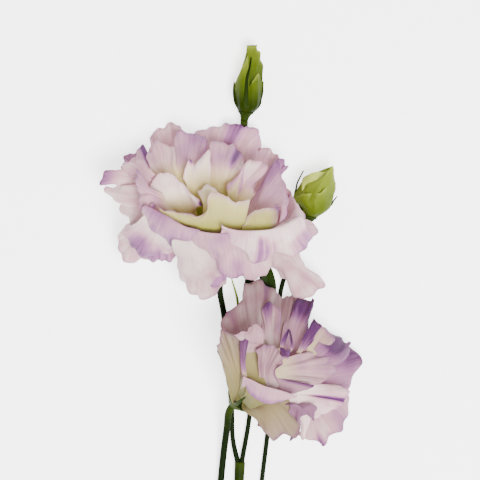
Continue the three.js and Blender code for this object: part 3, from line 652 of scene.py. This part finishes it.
        fringe=0.1, curl=0.5, lines=[
        (21, (5, 6), (12, 5), (18, 7)),
        (22, (6.2, 8), (7.2, 10.5), (8.8, 12.8), (10.5, 14.1), (13, 14.6), (16.5, 15.1), (20, 15.5))]),
    innerFront=dict(tint=0.02, shade=0.3, green=(-1, 18), ruffle=(0.4, 3), curl=0.4,
        streaks=[(-0.5, 0.45, 0.45, 0.8)], lines=[
        ([18, 20, 21, 21, 21], (-24, 12), (-16, 8.8), (-8, 7.4), (0, 6.8), (6, 7.6)),
        ([19, 20, 21, 23, 24, 23, 22], (-28, 16.5), (-24.5, 14.5), (-19.9, 13.5), (-14.5, 12.5),
            (-10.5, 12.1), (-8, 13.5), (-7.3, 16), (-7.2, 18.8), (-6.5, 20.5), (-4.5, 21), (-1.9, 20.5),
            (0.1, 19.1), (2.8, 17.5), (5.5, 17.5), (8.8, 18.1))]),
)

secondBloom = dict(
    base=(1.2, -61.6, 16), axis=(0.643, 0.579, 0.5), seed=300, blush=0.26, shade=0.46, rise=1.15, core=0.72,
    dish=1.32, sepalTurn=0,
)
# shade here is painted: the whole bloom darker, partly its own deeper tone and partly painted shade;
# upperLeft and top darkest, a painted shadow of the main bloom above; the outer undersides leftOuter,
# lowerOuter and underLip greyer in tone and in painted shade; centreRight, frontLip and bottomSmall below 0,
# painted highlights
secondBloom["petals"] = dict(
    upperLeft=dict(green=(-30, -10), tint=-0.12, shade=0.32,
        folds=[(-0.4, 1.1, 0.22), (0.08, -1.1, 0.16), (0.55, 0.9, 0.12)],
        streaks=[(0.72, 0.1, 0.55, 0.65), (-0.4, 0.1, 0.3, 0.4)], lines=[
        (4, (-1, 10), (10, 16)),
        (6, (-6.5, 20), (10, 29)),
        ([10, 4, -2, -6], (-8, 22), (-8.6, 27), (-8, 31), (-5.8, 33.9), (-2.9, 35.6), (-0.3, 37.9),
            (0.2, 42.5), (0.3, 44.2), (3.4, 44.8), (6.2, 45.9), (9.7, 43.3), (12, 41.9), (13.7, 40.2))]),
    top=dict(green=(-30, -10), tint=-0.04, shade=0.4, folds=[(0.2, 1.2, 0.2)], lines=[
        (2, (10, 16), (16, 18)),
        (-1, (11, 30), (22, 29)),
        (-8, (11, 41), (13.7, 40.2), (17.7, 39.9), (21.1, 39.9), (22.5, 39), (24.5, 37.9), (26, 36))]),
    topRight=dict(green=(-30, -10), tint=0.12, fringe=0.15, shade=0.1,
        streaks=[(0.15, 0.9, 0.85, 0.58)], lines=[
        (3, (13, 15), (23, 14)),
        (1, (16, 28), (26, 23)),
        (-4, (18.5, 33), (20.5, 36.5), (23.4, 38.5), (26.2, 38.5), (27.9, 39.3), (28.3, 37.3), (27.7, 34.5),
            (26.8, 32.2), (24, 29.5))]),
    creamBand=dict(tint=0.0, green=(-20, 22), ruffle=(0.3, 1), lines=[
        (3, (21, 16), (26, 15)),
        (-3, (27, 28), (31, 28), (34.8, 24.9), (36, 22), (34, 19))]),
    rightUpper=dict(green=(-30, -10), tint=0.18, fringe=0.08, curl=0.8, streaks=[(-0.1, 0.8, 0.55, 0.3)],
        ruffle=(0.4, 2), lines=[
        (2, (24, 15), (30, 11)),
        (0, (30, 21.5), (38, 13)),
        (-8, (31, 25.5), (34.8, 24.9), (38.2, 23), (41, 21), (42.5, 21.3), (43, 20.2), (41.7, 19.6),
            (44, 17.8))]),
    right=dict(green=(-30, -10), tint=0.26, fringe=0.06, ruffle=(0.5, 1.6), fine=0.18, curl=0.7,
        streaks=[(-0.5, 0.4, 0.4, 0.5)], lines=[
        (2, (25, 13), (25, 0)),
        (-2, (34, 17), (35, 0)),
        (-9, (40, 19.8), (41.7, 19.5), (44.5, 17.3), (47.4, 14.5), (48, 12.2), (46.8, 9.9), (44, 7),
            (42.5, 3), (40.5, 0))]),
    lowerRight=dict(tint=-0.06, shade=-0.06, fringe=0.08, ruffle=(0.7, 2.2), fine=0.2, curl=0.8,
        folds=[(-0.5, 1.4, 0.12), (0.1, -1.2, 0.1)], green=(-30, -12),
        streaks=[(0.42, 0.1, 0.7, 0.65), (-0.3, 0.3, 0.25, 0.5)], lines=[
        (4, (24, 3), (18, -7)),
        (1, (36, 2), (23, -12)),
        ([-6, -6, -4, 0], (41, 1.3), (42.2, -1), (42.3, -3.8), (41.3, -8.4), (40.2, -11.8), (39.4, -14.1),
            (37, -15), (34.2, -17), (33, -19.5), (31.9, -20.4), (30.5, -19), (29, -18.1), (25.6, -17.5),
            (21.5, -15))]),
    bottomSmall=dict(tint=-0.16, shade=-0.4, green=(-30, -12), ruffle=(0.3, 2),
        streaks=[(0.9, 0.3, 0.6, 0.6)], lines=[
        (9, (20, -6), (26, -6)),
        (4, (21.5, -9), (22, -13), (22.3, -15.2), (23.4, -17), (25, -14), (26, -9))]),
    bottomTail=dict(tint=0.6, ruffle=(0.3, 1), lines=[
        (9, (19.5, -7), (22, -8)),
        (6, (20.5, -13), (19.5, -15), (18, -17.4), (18.6, -17.2), (20.5, -15), (22, -12))]),
    lowerOuter=dict(tint=-0.14, shade=0.44, green=(-4, 33), cup=2.0, belly=0.3, throat=1, lines=[
        (3, (-0.5, -4), (3, -1)),
        (10, (5, -8.2), (11, -3.5), (16, 0)),
        ([12, 10, 8], (6.6, -10), (8.5, -13.6), (9.7, -15.3), (11.9, -16.3), (14.8, -14.7), (17.1, -14.4),
            (19.9, -15.8), (21.7, -13), (22, -8), (21, -4))]),
    leftWall=dict(tint=-0.24, shade=0.36, green=(-24, 70), cup=-1.0, ruffle=(0.2, 1), lines=[
        (15, (1, 3), (9, 0)),
        (14, (0.6, 12), (8, 12)),
        (14, (0.5, 20), (3, 24), (7, 24), (9, 20))]),
    leftOuter=dict(tint=-0.26, shade=0.42, green=(-1, 46), cup=1.5, belly=0.3, throat=1, lines=[
        (3, (-3.4, -3), (0.6, -1)),
        (13, (-6.7, 8.5), (-3, 9.3), (0.8, 9)),
        ([18, 20, 20, 17], (-9.2, 16.5), (-10.8, 21.3), (-9.2, 25), (-7.8, 27), (-4.6, 25.4), (-1, 24))]),
    underLip=dict(tint=-0.26, shade=0.4, green=(-1, 42), belly=0.3, throat=1, ruffle=(0.2, 1), lines=[
        (5, (-1.8, 0), (2, -4)),
        (13, (-1.6, 5), (2.5, 1.5), (7.5, -2.6)),
        (16, (-1, 9.5), (2.5, 7.6), (8, 4), (15, 1))]),
    leftStrip=dict(tint=0.42, ruffle=(0.2, 1), lines=[
        (16, (-0.2, 7), (1.4, 8)),
        (18, (-1.2, 16), (0.8, 15.5)),
        (19, (-1, 22.5), (0.6, 23.4), (2.2, 23.2))]),
    upperInner=dict(tint=0.04, shade=0.06, curl=0.4,
        streaks=[(-0.15, 0.25, 0.55, 0.6), (0.6, 0.15, 0.35, 0.4)], folds=[(0.2, -0.7, 0.25)], lines=[
        (7, (8, 16), (13, 17)),
        (9, (7, 25), (14.5, 24)),
        (5, (6.8, 28), (7.2, 31.5), (8.5, 35), (10.9, 38.2), (13.3, 35), (14.9, 32.5), (14.6, 28.5))]),
    leftLip=dict(tint=-0.1, shade=-0.04, green=(-30, -10), ruffle=(0.5, 1.6), fine=0.25, curl=1.4,
        fringe=0.2, lines=[
        (15.5, (1, 20.6), (7.5, 21.2)),
        (18, (-1.2, 22.8), (7.8, 22.8)),
        ([18, 19, 20, 20, 19], (-3.6, 25), (-0.5, 25.8), (1.6, 25.8), (3.2, 27.8), (5.6, 28.7), (7.3, 27.2),
            (7.9, 25), (7.8, 23.2))]),
    rightHigh=dict(tint=0.75, ruffle=(0.3, 1), streaks=[(0.9, 0.2, 0.3, 0.2)], lines=[
        (7, (20.5, 17), (22, 17)),
        (6, (24, 24.5), (27, 21.5)),
        (4, (26.3, 28.5), (27.4, 31), (30.8, 29), (31.2, 27.9), (29, 24.8))]),
    innerPink=dict(tint=0.02, shade=-0.04, green=(-18, 16), ruffle=(0.9, 2.2), fine=0.4,
        folds=[(-0.35, -1.4, 0.14), (0.3, 0.9, 0.12)], lines=[
        (13, (11, 5.5), (12.2, 13.5)),
        (11, (20, 5.5), (19, 16.5)),
        ([6, 3, 0, 0, 3], (27.5, 5), (33, 5.5), (36, 8), (36, 12), (31, 16.3), (25, 17.5))]),
    centreRight=dict(tint=-0.12, shade=-0.4, green=(-30, -10), streaks=[(-0.25, 0.09, 0.85, 0.3)],
        folds=[(-0.25, -1.6, 0.1)], lines=[
        (10, (17, 5), (19, -3)),
        (8, (28, 5), (25, -6)),
        ([0, 1, 3, 5], (38, 6), (41, 3), (41.5, 0), (40, -3), (36, -5), (32, -7.5), (28, -9))]),
    innerLow=dict(green=(-30, -10), tint=0.1, shade=0.1, streaks=[(-0.9, 0.25, 0.55, 0.1)],
        ruffle=(0.3, 1), lines=[
        (13, (12.3, 7.6), (14, 3)),
        (13, (18, 7.2), (18, 2)),
        (12, (28, 5), (25, 3.3), (21, 1.5))]),
    centre=dict(tint=0.0, shade=0.12, fine=0.1, green=(-10, 4), streaks=[(0.95, 0.12, 0.4, 0.2)], lines=[
        (11, (7, -1), (16, 0)),
        (15, (6, 11), (12.3, 10)),
        (18, (6.3, 17), (7.5, 20), (9.5, 20.8), (12, 20.8), (14.2, 18.5), (14.5, 15.6), (13.4, 13))]),
    teardropLeft=dict(tint=0.9, ruffle=(0, 1), fringe=0, lines=[
        (14, (14, 19.8), (15.4, 19.2)),
        (16, (14.6, 22.6), (16.4, 22)),
        (16, (17.3, 27.3), (18.1, 27.2))]),
    teardropRight=dict(tint=0.75, ruffle=(0, 1), fringe=0, lines=[
        (14, (17.3, 18.4), (18.4, 18.4)),
        (16, (18.3, 21), (19.4, 20.5)),
        (16, (17.6, 26.8), (18.4, 26.6))]),
    teardropBase=dict(tint=0.8, ruffle=(0, 1), fringe=0, lines=[
        (13, (14.8, 15), (17.2, 15)),
        (16, (14.3, 18.9), (16.2, 18.9), (18.3, 18.4))]),
    ragged=dict(green=(-30, -10), tint=0.2, shade=0.2, fringe=0.5, lines=[
        (12, (18, -2.5), (21, -2.2), (23.5, -3.8), (26.5, -2.4), (28.3, -3)),
        (10, (17.6, -5.9), (19.5, -8), (21.6, -8.5), (23.4, -7.6), (26, -8.4), (27.8, -9.4), (28.4, -6))]),
    frontLip=dict(green=(-30, -10), tint=0.0, shade=-0.26, fringe=0.12, fine=0.15, ruffle=(0.2, 2),
        streaks=[(0, 1.5, 0.2, 0.6)], cup=0.8, lines=[
        (19, (0, 9), (3.4, 7.6), (7.4, 5.6), (11.4, 4.4), (15.4, 3.3), (20, 1.6)),
        (16, (0.3, 7.6), (0.8, 5.3), (3.4, 1.9), (6.8, -0.4), (11.4, -1.7), (15.4, -1.3), (18.8, -0.1),
            (21, 0.4))]),
)


# the feet of the petals, grown together: height along the axis and radius
bloomCore = [
    (-1.4, 0), (-1.2, 1.8), (0, 4), (2.4, 7.6), (4.6, 9.2), (6.4, 8.6), (7, 6), (7.2, 2.8), (7.5, 0),
]


def makeBloom(name, bloom, node, material):
    petals = bloom["petals"].values()
    parts = [petalSheet(bloom, petal, bloom["seed"] + k) for k, petal in enumerate(petals)]
    core = [(h, r * bloom["core"]) for h, r in bloomCore]
    parts.append(turnedBody((0, 0, 0), bloom["axis"], core, sides=32, high=0.2))
    makePiece(name, parts, material, [node], drawing + np.array(bloom["base"]))


# below and inside the blooms: heights along the axis and radii
calyxHabit = dict(
    dish=[(-4.8, 0), (-4.8, 1.5), (-3.4, 2.8), (-1.8, 4.4), (-1, 4.9), (-1.2, 4.5), (-1.75, 2.4),
          (-1.9, 0)],
    sepal=[(-2.2, 3.4), (-0.6, 6.6), (2.2, 10.2), (5.6, 12.6), (9.6, 14)],
    width=[2.4, 2.2, 1.7, 1.2, 0.5],
    depth=[1.6, 1.2, 1, 0.8, 0.4],
)
pistilHabit = dict(
    body=[(7.8, 0), (8, 1.2), (10, 1.6), (12.5, 1.4), (14, 0.6), (18.2, 0.55), (18.4, 0)],
    lobe=[(-0.8, 0.05), (-0.6, 0.6), (0, 0.9), (0.6, 0.6), (0.8, 0.05)],
    lobeHeight=18.6, lobeOff=0.7, lobeLean=0.5,
)
stamenHabit = dict(
    ring=[(7.8, 2.1), (7.8, 2.9), (8.6, 2.9), (8.6, 2.1)],
    line=[(8.2, 2.5), (11, 2.9), (13.2, 3), (14.6, 3.1), (16.2, 3)],
    width=[0.7, 0.65, 0.6, 0.6, 1.25, 1.35, 0.6],
    turn=36,
)
floral = 5  # sepals, stamens and the furled petals of a bud all come in fives


def makeCalyx(name, bloom, node, material):
    habit = calyxHabit
    axis = unit(bloom["axis"])
    dish = [(h * bloom["dish"], r * bloom["dish"]) for h, r in habit["dish"]]
    parts = [turnedBody((0, 0, 0), axis, dish, high=0.35)]
    for k in range(floral):
        radial = squareTo(axis, bloom["sepalTurn"] + k * 360 / floral)
        line = [axis * h + radial * r for h, r in habit["sepal"]]
        outward = unit(radial - axis)
        parts.append(tube(line, habit["width"], habit["depth"], rings=26, sides=10, facing=outward))
    makePiece(name, parts, material, [node], drawing + np.array(bloom["base"]))


def makePistil(name, bloom, node, material):
    habit = pistilHabit
    axis = unit(bloom["axis"])
    side = squareTo(axis, 90)
    parts = [turnedBody((0, 0, 0), axis, habit["body"], sides=20)]
    for way in (-1, 1):  # the two lobes of the stigma
        foot = axis * habit["lobeHeight"] + side * habit["lobeOff"] * way
        parts.append(turnedBody(foot, axis + side * habit["lobeLean"] * way, habit["lobe"], sides=16))
    makePiece(name, parts, material, [node], drawing + np.array(bloom["base"]))


def makeStamens(name, bloom, node, material):
    habit = stamenHabit
    axis = unit(bloom["axis"])
    parts = [turnedBody((0, 0, 0), axis, habit["ring"], sides=24, high=0.1)]
    for k in range(floral):
        radial = squareTo(axis, habit["turn"] + k * 360 / floral)
        line = [axis * h + radial * r for h, r in habit["line"]]
        parts.append(tube(line, habit["width"], rings=24, sides=10))
    makePiece(name, parts, material, [node], drawing + np.array(bloom["base"]))


# buds
# places on the middle line from base to tip with the radius at each, within: the share of it that the wound
# body takes, and how far it winds. sepals: angle, share of the bud's length, how far the tip stands off
topBud = dict(
    places=[(2.1, 50.2, 5.6), (2.8, 54.4, 5.6), (3.2, 59.2, 5.6), (3.6, 64, 5.6), (4.8, 70, 5.7),
            (5, 73.6, 5.8), (4.9, 77.6, 5.9)],
    radii=[1.7, 4.8, 5.5, 5.2, 4, 3, 1.9],
    wind=1.1, ridge=0.09, within=0.84,
    sepals=[(-8, 0.78, 0.3), (88, 0.5, 0.3), (-84, 0.45, 0.3), (148, 0.6, 0.3), (-142, 0.6, 0.3)],
    sepalWidth=[2.8, 2.4, 1.5, 0.8, 0.4],
    base=(2.1, 50.2, 5.6), axis=(0.1, 0.99, 0), seed=500, blush=0, rise=1, shade=0,
)
topBud["petals"] = dict(
    upper=dict(lines=[
        ([3, 4.4, 3.4, 1], (-1.4, 10), (1.6, 10), (4, 10), (6, 11)),
        ([1.5, 4, 3.8, 0.5], (-1.2, 18), (2, 19), (4.8, 18.6), (7, 18.4)),
        ([0.2, 2, 2, 1.6, 0.6, 0], (0.2, 23), (0.6, 25.4), (0.85, 27.4), (2.8, 27), (4.7, 27.3),
            (3.9, 25.8), (6, 24.6), (5.7, 22.4), (6.8, 20))]),
    left=dict(folds=[(0.1, 0.5, 0.4)], lines=[
        ([0, 3.6, 4.4, 4], (-3.5, 3.8), (-2.7, 3.2), (-0.5, 2.6), (1.5, 2.6)),
        ([0, 3.6, 5.2, 4.8], (-4.5, 9), (-3.7, 8.8), (-1, 8.6), (1.6, 8.6)),
        ([0, 2.6, 3.8, 4], (-4.2, 12), (-2, 16.4), (0, 20.6), (1.1, 23.5))]),
    right=dict(folds=[(0, 0.4, 0.5)], lines=[
        ([4, 4.4, 3.6, 0], (1.3, 2.6), (3.2, 2.6), (4.9, 3.2), (5.6, 3.9)),
        ([4.8, 5.4, 4, 0], (1.2, 7), (3.4, 8), (5.8, 8.4), (6.6, 8.6)),
        ([4.8, 4.8, 3.4, 0], (1.3, 10), (3.9, 14.6), (5.6, 16.9), (6.9, 18))]),
)
sideBud = dict(
    places=[(27.2, 8.8, 7.4), (29, 16, 7.4), (30.2, 20, 7.4), (31.8, 24, 7.4), (34.2, 27.2, 7.4),
            (37, 29.4, 7.4)],
    radii=[2, 7.1, 7.2, 6.2, 3.6, 0.8],
    wind=1.3, ridge=0.08, within=[0.86, 0.86, 0.84, 0.6, 0.4, 0.2],
    sepals=[(96, 0.42, 1.6), (160, 0.5, 0.4), (214, 0.5, 0.4), (268, 0.6, 1.1), (296, 0.16, 0.3)],
    sepalWidth=[2.4, 1.6, 1.1, 0.9, 0.65],
    base=(27.2, 8.8, 7.4), axis=(0.28, 0.96, 0), seed=520, blush=0, rise=1, shade=0,
)
sideBud["petals"] = dict(
    inner=dict(green=(-30, -10), lines=[
        ([3, 5, 4.6, 3], (-2.6, 12), (1, 12), (5, 13), (8, 15)),
        ([0.5, 3, 3.4, 2.8, 1.4], (-2.3, 15.7), (-0.2, 17.2), (2.3, 18.1), (6.2, 18.3), (8, 18.9))]),
    wrap=dict(curl=0.5, green=(-13, 27), lines=[
        ([0, 4.6, 5.6, 4.6, 0], (-2.6, 3.9), (-1.4, 3.4), (2.6, 2.6), (6.8, 3.2), (8, 4.1)),
        ([0, 5.2, 7.4, 5.2, 0], (-6, 7.6), (-4.6, 7.2), (1.8, 6.8), (8, 7.4), (9.5, 8.2)),
        ([0, 5.2, 7.2, 5.2, 0], (-4.3, 11.8), (-3.2, 11.4), (3, 11), (9.4, 11), (10.9, 11.4)),
        ([0.5, 5, 6.2, 5.6, 4, 1.5, 0], (-2.3, 15.6), (0.9, 14.7), (4.1, 15.1), (6.6, 17), (8, 18.7),
            (9.5, 20.6), (10.3, 18), (11, 14))]),
    lowerWrap=dict(green=(-13, 27), folds=[(-0.15, -1.1, 0.12)], lines=[
        ([0.2, 5, 6, 5, 0.2], (-2.8, 3.7), (-1.4, 3.2), (2.6, 2.4), (6.8, 3), (8.2, 3.9)),
        ([0.3, 5.6, 7.9, 5.6, 0.3], (-6.1, 7.2), (-4.6, 6.8), (1.8, 6.4), (8, 7), (9.7, 8)),
        ([0.4, 4.6, 7, 7.9, 7.6, 4.8, 0.5], (-5.8, 7.6), (-3.6, 9), (-1, 9.7), (1.6, 9.4), (4.8, 10.1),
            (8, 13), (10.9, 13.8))]),
)
budHabit = dict(
    throat=1.2, root=0.3, belly=0.8, ruffle=(0.05, 1), fine=0.06, fringe=0.08, curl=0.0, thick=0.5,
    green=(0, 27), tint=0.0,
)
budRings = 70
budSides = 100
budSeam = 0.92  # where, from one furled petal's start to the next one's, its rim drops away
paleRim = (0.9, 0.08)  # place and breadth of the paler line beside it
sepalDepth = [0.9, 0.9, 0.8, 0.7, 0.5]


def onBud(bud, t, angle, distance):  # at a distance from the middle line, by angle from the upper side
    t = np.atleast_1d(t)
    axis = unit(alongCurve(bud["places"], t + 0.01) - alongCurve(bud["places"], t - 0.01))
    distance = np.broadcast_to(distance, t.shape)[:, None]
    return alongCurve(bud["places"], t) + squareTo(axis, angle) * distance


def makeBud(name, bud, node, material):
    t = np.linspace(0, 1, budRings)
    stations = [(k / (len(bud["radii"]) - 1), radius) for k, radius in enumerate(bud["radii"])]
    radius = alongCurve(stations, t)[:, 1] * between(bud["within"], t)
    places = []
    edges = []
    for j in range(budSides):
        turns = j / budSides * floral + bud["wind"] * t
        margin = turns - np.floor(turns)
        lap = np.clip(margin / budSeam, 0, 1) - smooth((margin - budSeam) / (1 - budSeam))
        swell = 1 - bud["ridge"] + bud["ridge"] * lap * smooth(t * 4)
        places.append(onBud(bud, t, j / budSides * 360, radius * swell))
        edges.append(np.clip(1 - np.abs(margin - paleRim[0]) / paleRim[1], 0, 1) * smooth(t * 3))
    body = skin(np.stack(places, axis=1), t * 0.8)
    body["edge"] = np.concatenate([[0], np.stack(edges, axis=1).ravel() * 0.4, [0]])
    parts = [body]
    for k, petal in enumerate(bud["petals"].values()):
        part = petalSheet(bud, {**budHabit, **petal}, bud["seed"] + k)
        part["places"] = part["places"] + np.array(bud["base"])
        parts.append(part)
    makePiece(name, parts, material, [node], drawing)


def makeBudCalyx(name, bud, node, material):
    first = bud["radii"][0]
    base = np.array(bud["places"][0])
    dish = [(-2.6, 0), (-2.6, 1.3), (-1.6, 1.7), (-0.3, first + 0.5), (0.6, first + 1.5),
            (0.1, first + 0.5), (-0.35, first), (-0.35, 0)]
    parts = [turnedBody(base, np.array(bud["places"][1]) - base, dish, high=0.3)]
    for angle, share, gap in bud["sepals"]:
        t = np.linspace(0, share, 7)
        line = onBud(bud, t, angle, between(bud["radii"], t) + 0.2 + gap * (t / share) ** 2)
        outward = (onBud(bud, share / 2, angle, 1) - onBud(bud, share / 2, angle, 0))[0]
        parts.append(tube(line, bud["sepalWidth"], sepalDepth, rings=30, sides=12, facing=outward))
    makePiece(name, parts, material, [node], drawing)


# stems and leaves
stemHabit = dict(
    cutEnd=(1.5, -172, 1.95), lowerNode=(0, -148, 1.95), upperNode=(0, -88.8, 1.95),
    leafNode=(8.8, -26, 1.25), thick=4.0, thin=1.9, swollen=2.6,
    endDepth=0.4,  # how deep a slice shows where the cut end lies
)


def belowBloom(bloom, distance):
    return tuple(np.array(bloom["base"]) - unit(bloom["axis"]) * distance)


def belowBud(bud, distance):
    first, second = alongCurve(bud["places"], np.array([0, 0.002]))
    return tuple(np.array(bud["places"][0]) - unit(second - first) * distance)


def makeStem(material):
    habit = stemHabit
    thick = habit["thick"]
    thin = habit["thin"]
    swollen = habit["swollen"]
    trunk = [habit["cutEnd"], habit["lowerNode"], (-0.8, -128, 1.95), (-0.4, -98, 1.95), habit["upperNode"]]
    toMain = [(-0.1, -92, 2), (-2.8, -80, 2.2), (-3.2, -68.4, 3.2), (-3.6, -56, 4.4), (-4.4, -48, 4.9),
              (-6.4, -29.6, 5), (-8, -19, 6.8), (-6, -10.8, 10.6), belowBloom(mainBloom, 4.9)]
    toTopBud = [(0.2, -91.5, 2), (1.2, -86, 1.9), (3.6, -72, 1.4), (4.2, -62, 1.1), (6.4, -40, 1.1),
                habit["leafNode"], (8.8, -16, 1.1), (6.6, 8, 1), (3, 30, 1), (1.3, 40, 1.1),
                (1.5, 43.6, 2.4), belowBud(topBud, 2.4)]
    toSecond = [(0, -150, 2), (-3.2, -143, 1.9), (-7.2, -128, 1.5), (-8.4, -112, 1.5), (-7.6, -96, 2.8),
                (-6.4, -84, 5), (-5.2, -74.5, 8.2), (-4.3, -67.8, 11.4), belowBloom(secondBloom, 4.9)]
    toSideBud = [(0.2, -150, 2), (3, -137, 1.5), (6.8, -116, 1), (8.8, -96, 1), (11.2, -76, 1),
                 (13.8, -48, 1), (16.4, -20, 1), (20, -9, 1.4), belowBud(sideBud, 5.5),
                 belowBud(sideBud, 2.4)]
    trunkWidth = [thick, thick, thick + 0.9, thick, thick - 0.2, thick, thick - 0.3, thick + 0.2]
    mainWidth = [thin + 0.4, thin, thin, thin + 0.2, thin + 0.5, thin + 0.6, thin + 0.5, swollen]
    topWidth = [thin + 0.2, thin, thin, thin + 0.7, thin, thin, thin, thin + 0.6, swollen + 0.5]
    secondWidth = [thick - 0.8, thin + 0.8, thin + 0.7, thin + 0.8, thin + 0.8, thin + 0.8, swollen + 0.4]
    sideWidth = [thick - 1, thin, thin, thin, thin, thin, swollen - 0.2]
    parts = [
        tube(trunk, trunkWidth, sides=20), tube(toMain, mainWidth), tube(toTopBud, topWidth, rings=150),
        tube(toSecond, secondWidth, rings=100), tube(toSideBud, sideWidth, rings=130),
    ]
    makePiece("stemSkin", parts, material, ["stem"], drawing)


# outline: how near its foot a leaf is widest, and how pointed it is
leafHabit = dict(
    right=dict(midrib=[(10.3, -26, 2.6), (11.2, -21, 5.2), (11.4, -15, 5.8), (10.8, -7, 4.4)], width=6.8),
    left=dict(midrib=[(7.3, -26, 2.4), (4.6, -24, 3), (3.6, -18, 3), (3.4, -9, 3)], width=5.6),
    foot=0.35, lift=1.5, wave=0.25, waves=9, groove=0.25, grooveBreadth=0.1, thick=0.5, thinned=0.6,
    outline=(0.8, 1.3),
)
leafRows = 44
leafColumns = 20


def makeLeaf(name, leaf, node, material):
    habit = leafHabit
    u = np.linspace(0, 1, leafRows + 1)
    v = np.linspace(-1, 1, leafColumns + 1)
    a, b, c, d = np.array(leaf["midrib"], dtype=float)
    t = u[:, None]
    line = (1 - t) ** 3 * a + 3 * (1 - t) ** 2 * t * b + 3 * (1 - t) * t * t * c + t**3 * d
    tangent = unit(np.gradient(line, axis=0))
    side = unit(np.cross((0, 0, 1.0), tangent))
    up = np.cross(tangent, side)
    early, pointed = habit["outline"]
    share = np.sin(math.pi * u**early).clip(0) ** pointed
    half = habit["foot"] + (leaf["width"] / 2 - habit["foot"]) * share
    lift = habit["lift"] * (half / leaf["width"])[:, None] * v**2
    lift = lift + habit["wave"] * np.sin(habit["waves"] * t) * v**2
    lift = lift - habit["groove"] * hump(v, 0, habit["grooveBreadth"])
    middle = line[:, None] + side[:, None] * (half[:, None] * v)[..., None] + up[:, None] * lift[..., None]
    flat = np.ones_like(lift)
    thick = habit["thick"] * (1 - habit["thinned"] * v**4) * flat
    part = sheet(middle, bladeNormal(middle), thick, dict(along=t * flat, across=np.abs(v) * flat))
    makePiece(name, [part], material, [node], drawing)


bracteoleHabit = dict(line=[(-3.1, -42, 5), (-1.6, -34, 5.6), (-0.9, -25, 6.4), (-3.4, -15, 8.2)],
                      width=[1.1, 1.3, 1.1, 0.5])


def makeBracteole(material):
    part = tube(bracteoleHabit["line"], bracteoleHabit["width"], rings=50, sides=12)
    makePiece("bracteoleSkin", [part], material, ["bracteole"], drawing)


# floor, light and camera; the lights by watts, size and place in metres
studio = dict(
    focal=180, sensor=36, frameWidth=190, middleHeight=12, sky=0.72, floor=(0.95, 0.95, 0.95), glow=2.2,
    speckle=0.985, floorHalf=3.0,
    lights=dict(key=(38, 0.5, (0.25, -0.3, 1.05)), fill=(3, 1.2, (-0.7, 0.5, 0.8))),
)


def makeFloor():
    half = studio["floorHalf"]
    mesh = bpy.data.meshes.new("floor")
    corners = [(-half, -half, 0), (half, -half, 0), (half, half, 0), (-half, half, 0)]
    mesh.from_pydata(corners, [], [(0, 1, 2, 3)])
    floor = bpy.data.objects.new("floor", mesh)
    finish = Finish("floor", {"Roughness": 0.9, "Specular IOR Level": 0.1})
    speckle = finish.noise(finish.own(), 30.0)
    low = tuple(c * studio["speckle"] for c in studio["floor"])
    finish.shaderIn("Base Color", finish.blend(speckle, low, studio["floor"]))
    finish.shaderIn("Emission Color", (1.0, 1.0, 1.0))
    finish.shaderIn("Emission Strength", studio["glow"])
    mesh.materials.append(finish.material)
    bpy.context.scene.collection.objects.link(floor)


def makeStudio():
    scene = bpy.context.scene
    world = bpy.data.worlds.new("studio")
    world.use_nodes = True
    background = world.node_tree.nodes["Background"]
    background.inputs[0].default_value = (1, 1, 1, 1)
    background.inputs[1].default_value = studio["sky"]
    scene.world = world
    for name, (power, size, place) in studio["lights"].items():
        lamp = bpy.data.lights.new(name, "AREA")
        lamp.energy = power
        lamp.size = size
        light = bpy.data.objects.new(name, lamp)
        light.location = place
        light.rotation_euler = (-Vector(place)).to_track_quat("-Z", "Y").to_euler()
        scene.collection.objects.link(light)
    lens = bpy.data.cameras.new("camera")
    lens.lens = studio["focal"]
    lens.sensor_width = studio["sensor"]
    lens.clip_start = 0.01
    camera = bpy.data.objects.new("camera", lens)
    distance = studio["middleHeight"] + studio["frameWidth"] * studio["focal"] / studio["sensor"]
    camera.location = (drawing[0] * mm, drawing[1] * mm, distance * mm)
    scene.collection.objects.link(camera)
    scene.camera = camera


drawing = drawingShift()
print("drawing moved by", drawing.round(3))
petalMaterial = petalFinish()
green = {name: greenFinish(name, *values) for name, values in greens.items()}
print("materials made")

makeStem(green["stem"])
makeLeaf("leafRightBlade", leafHabit["right"], "leaf_right", green["leaf"])
makeLeaf("leafLeftBlade", leafHabit["left"], "leaf_left", green["leaf"])
makeBracteole(green["bract"])
for side, bloom in (("main", mainBloom), ("second", secondBloom)):
    makeBloom(side + "BloomPetals", bloom, side + "_bloom_petals", petalMaterial)
    makeCalyx(side + "BloomCalyx", bloom, side + "_bloom_calyx", green["calyx"])
    makePistil(side + "BloomPistil", bloom, side + "_bloom_pistil", green["pistil"])
    makeStamens(side + "BloomStamens", bloom, side + "_bloom_stamens", green["anther"])
for side, bud in (("top", topBud), ("side", sideBud)):
    makeBud(side + "BudPetals", bud, side + "_bud_petals", green["bud"])
    makeBudCalyx(side + "BudCalyx", bud, side + "_bud_calyx", green["budCalyx"])
makeFloor()
makeStudio()
print("studio made")
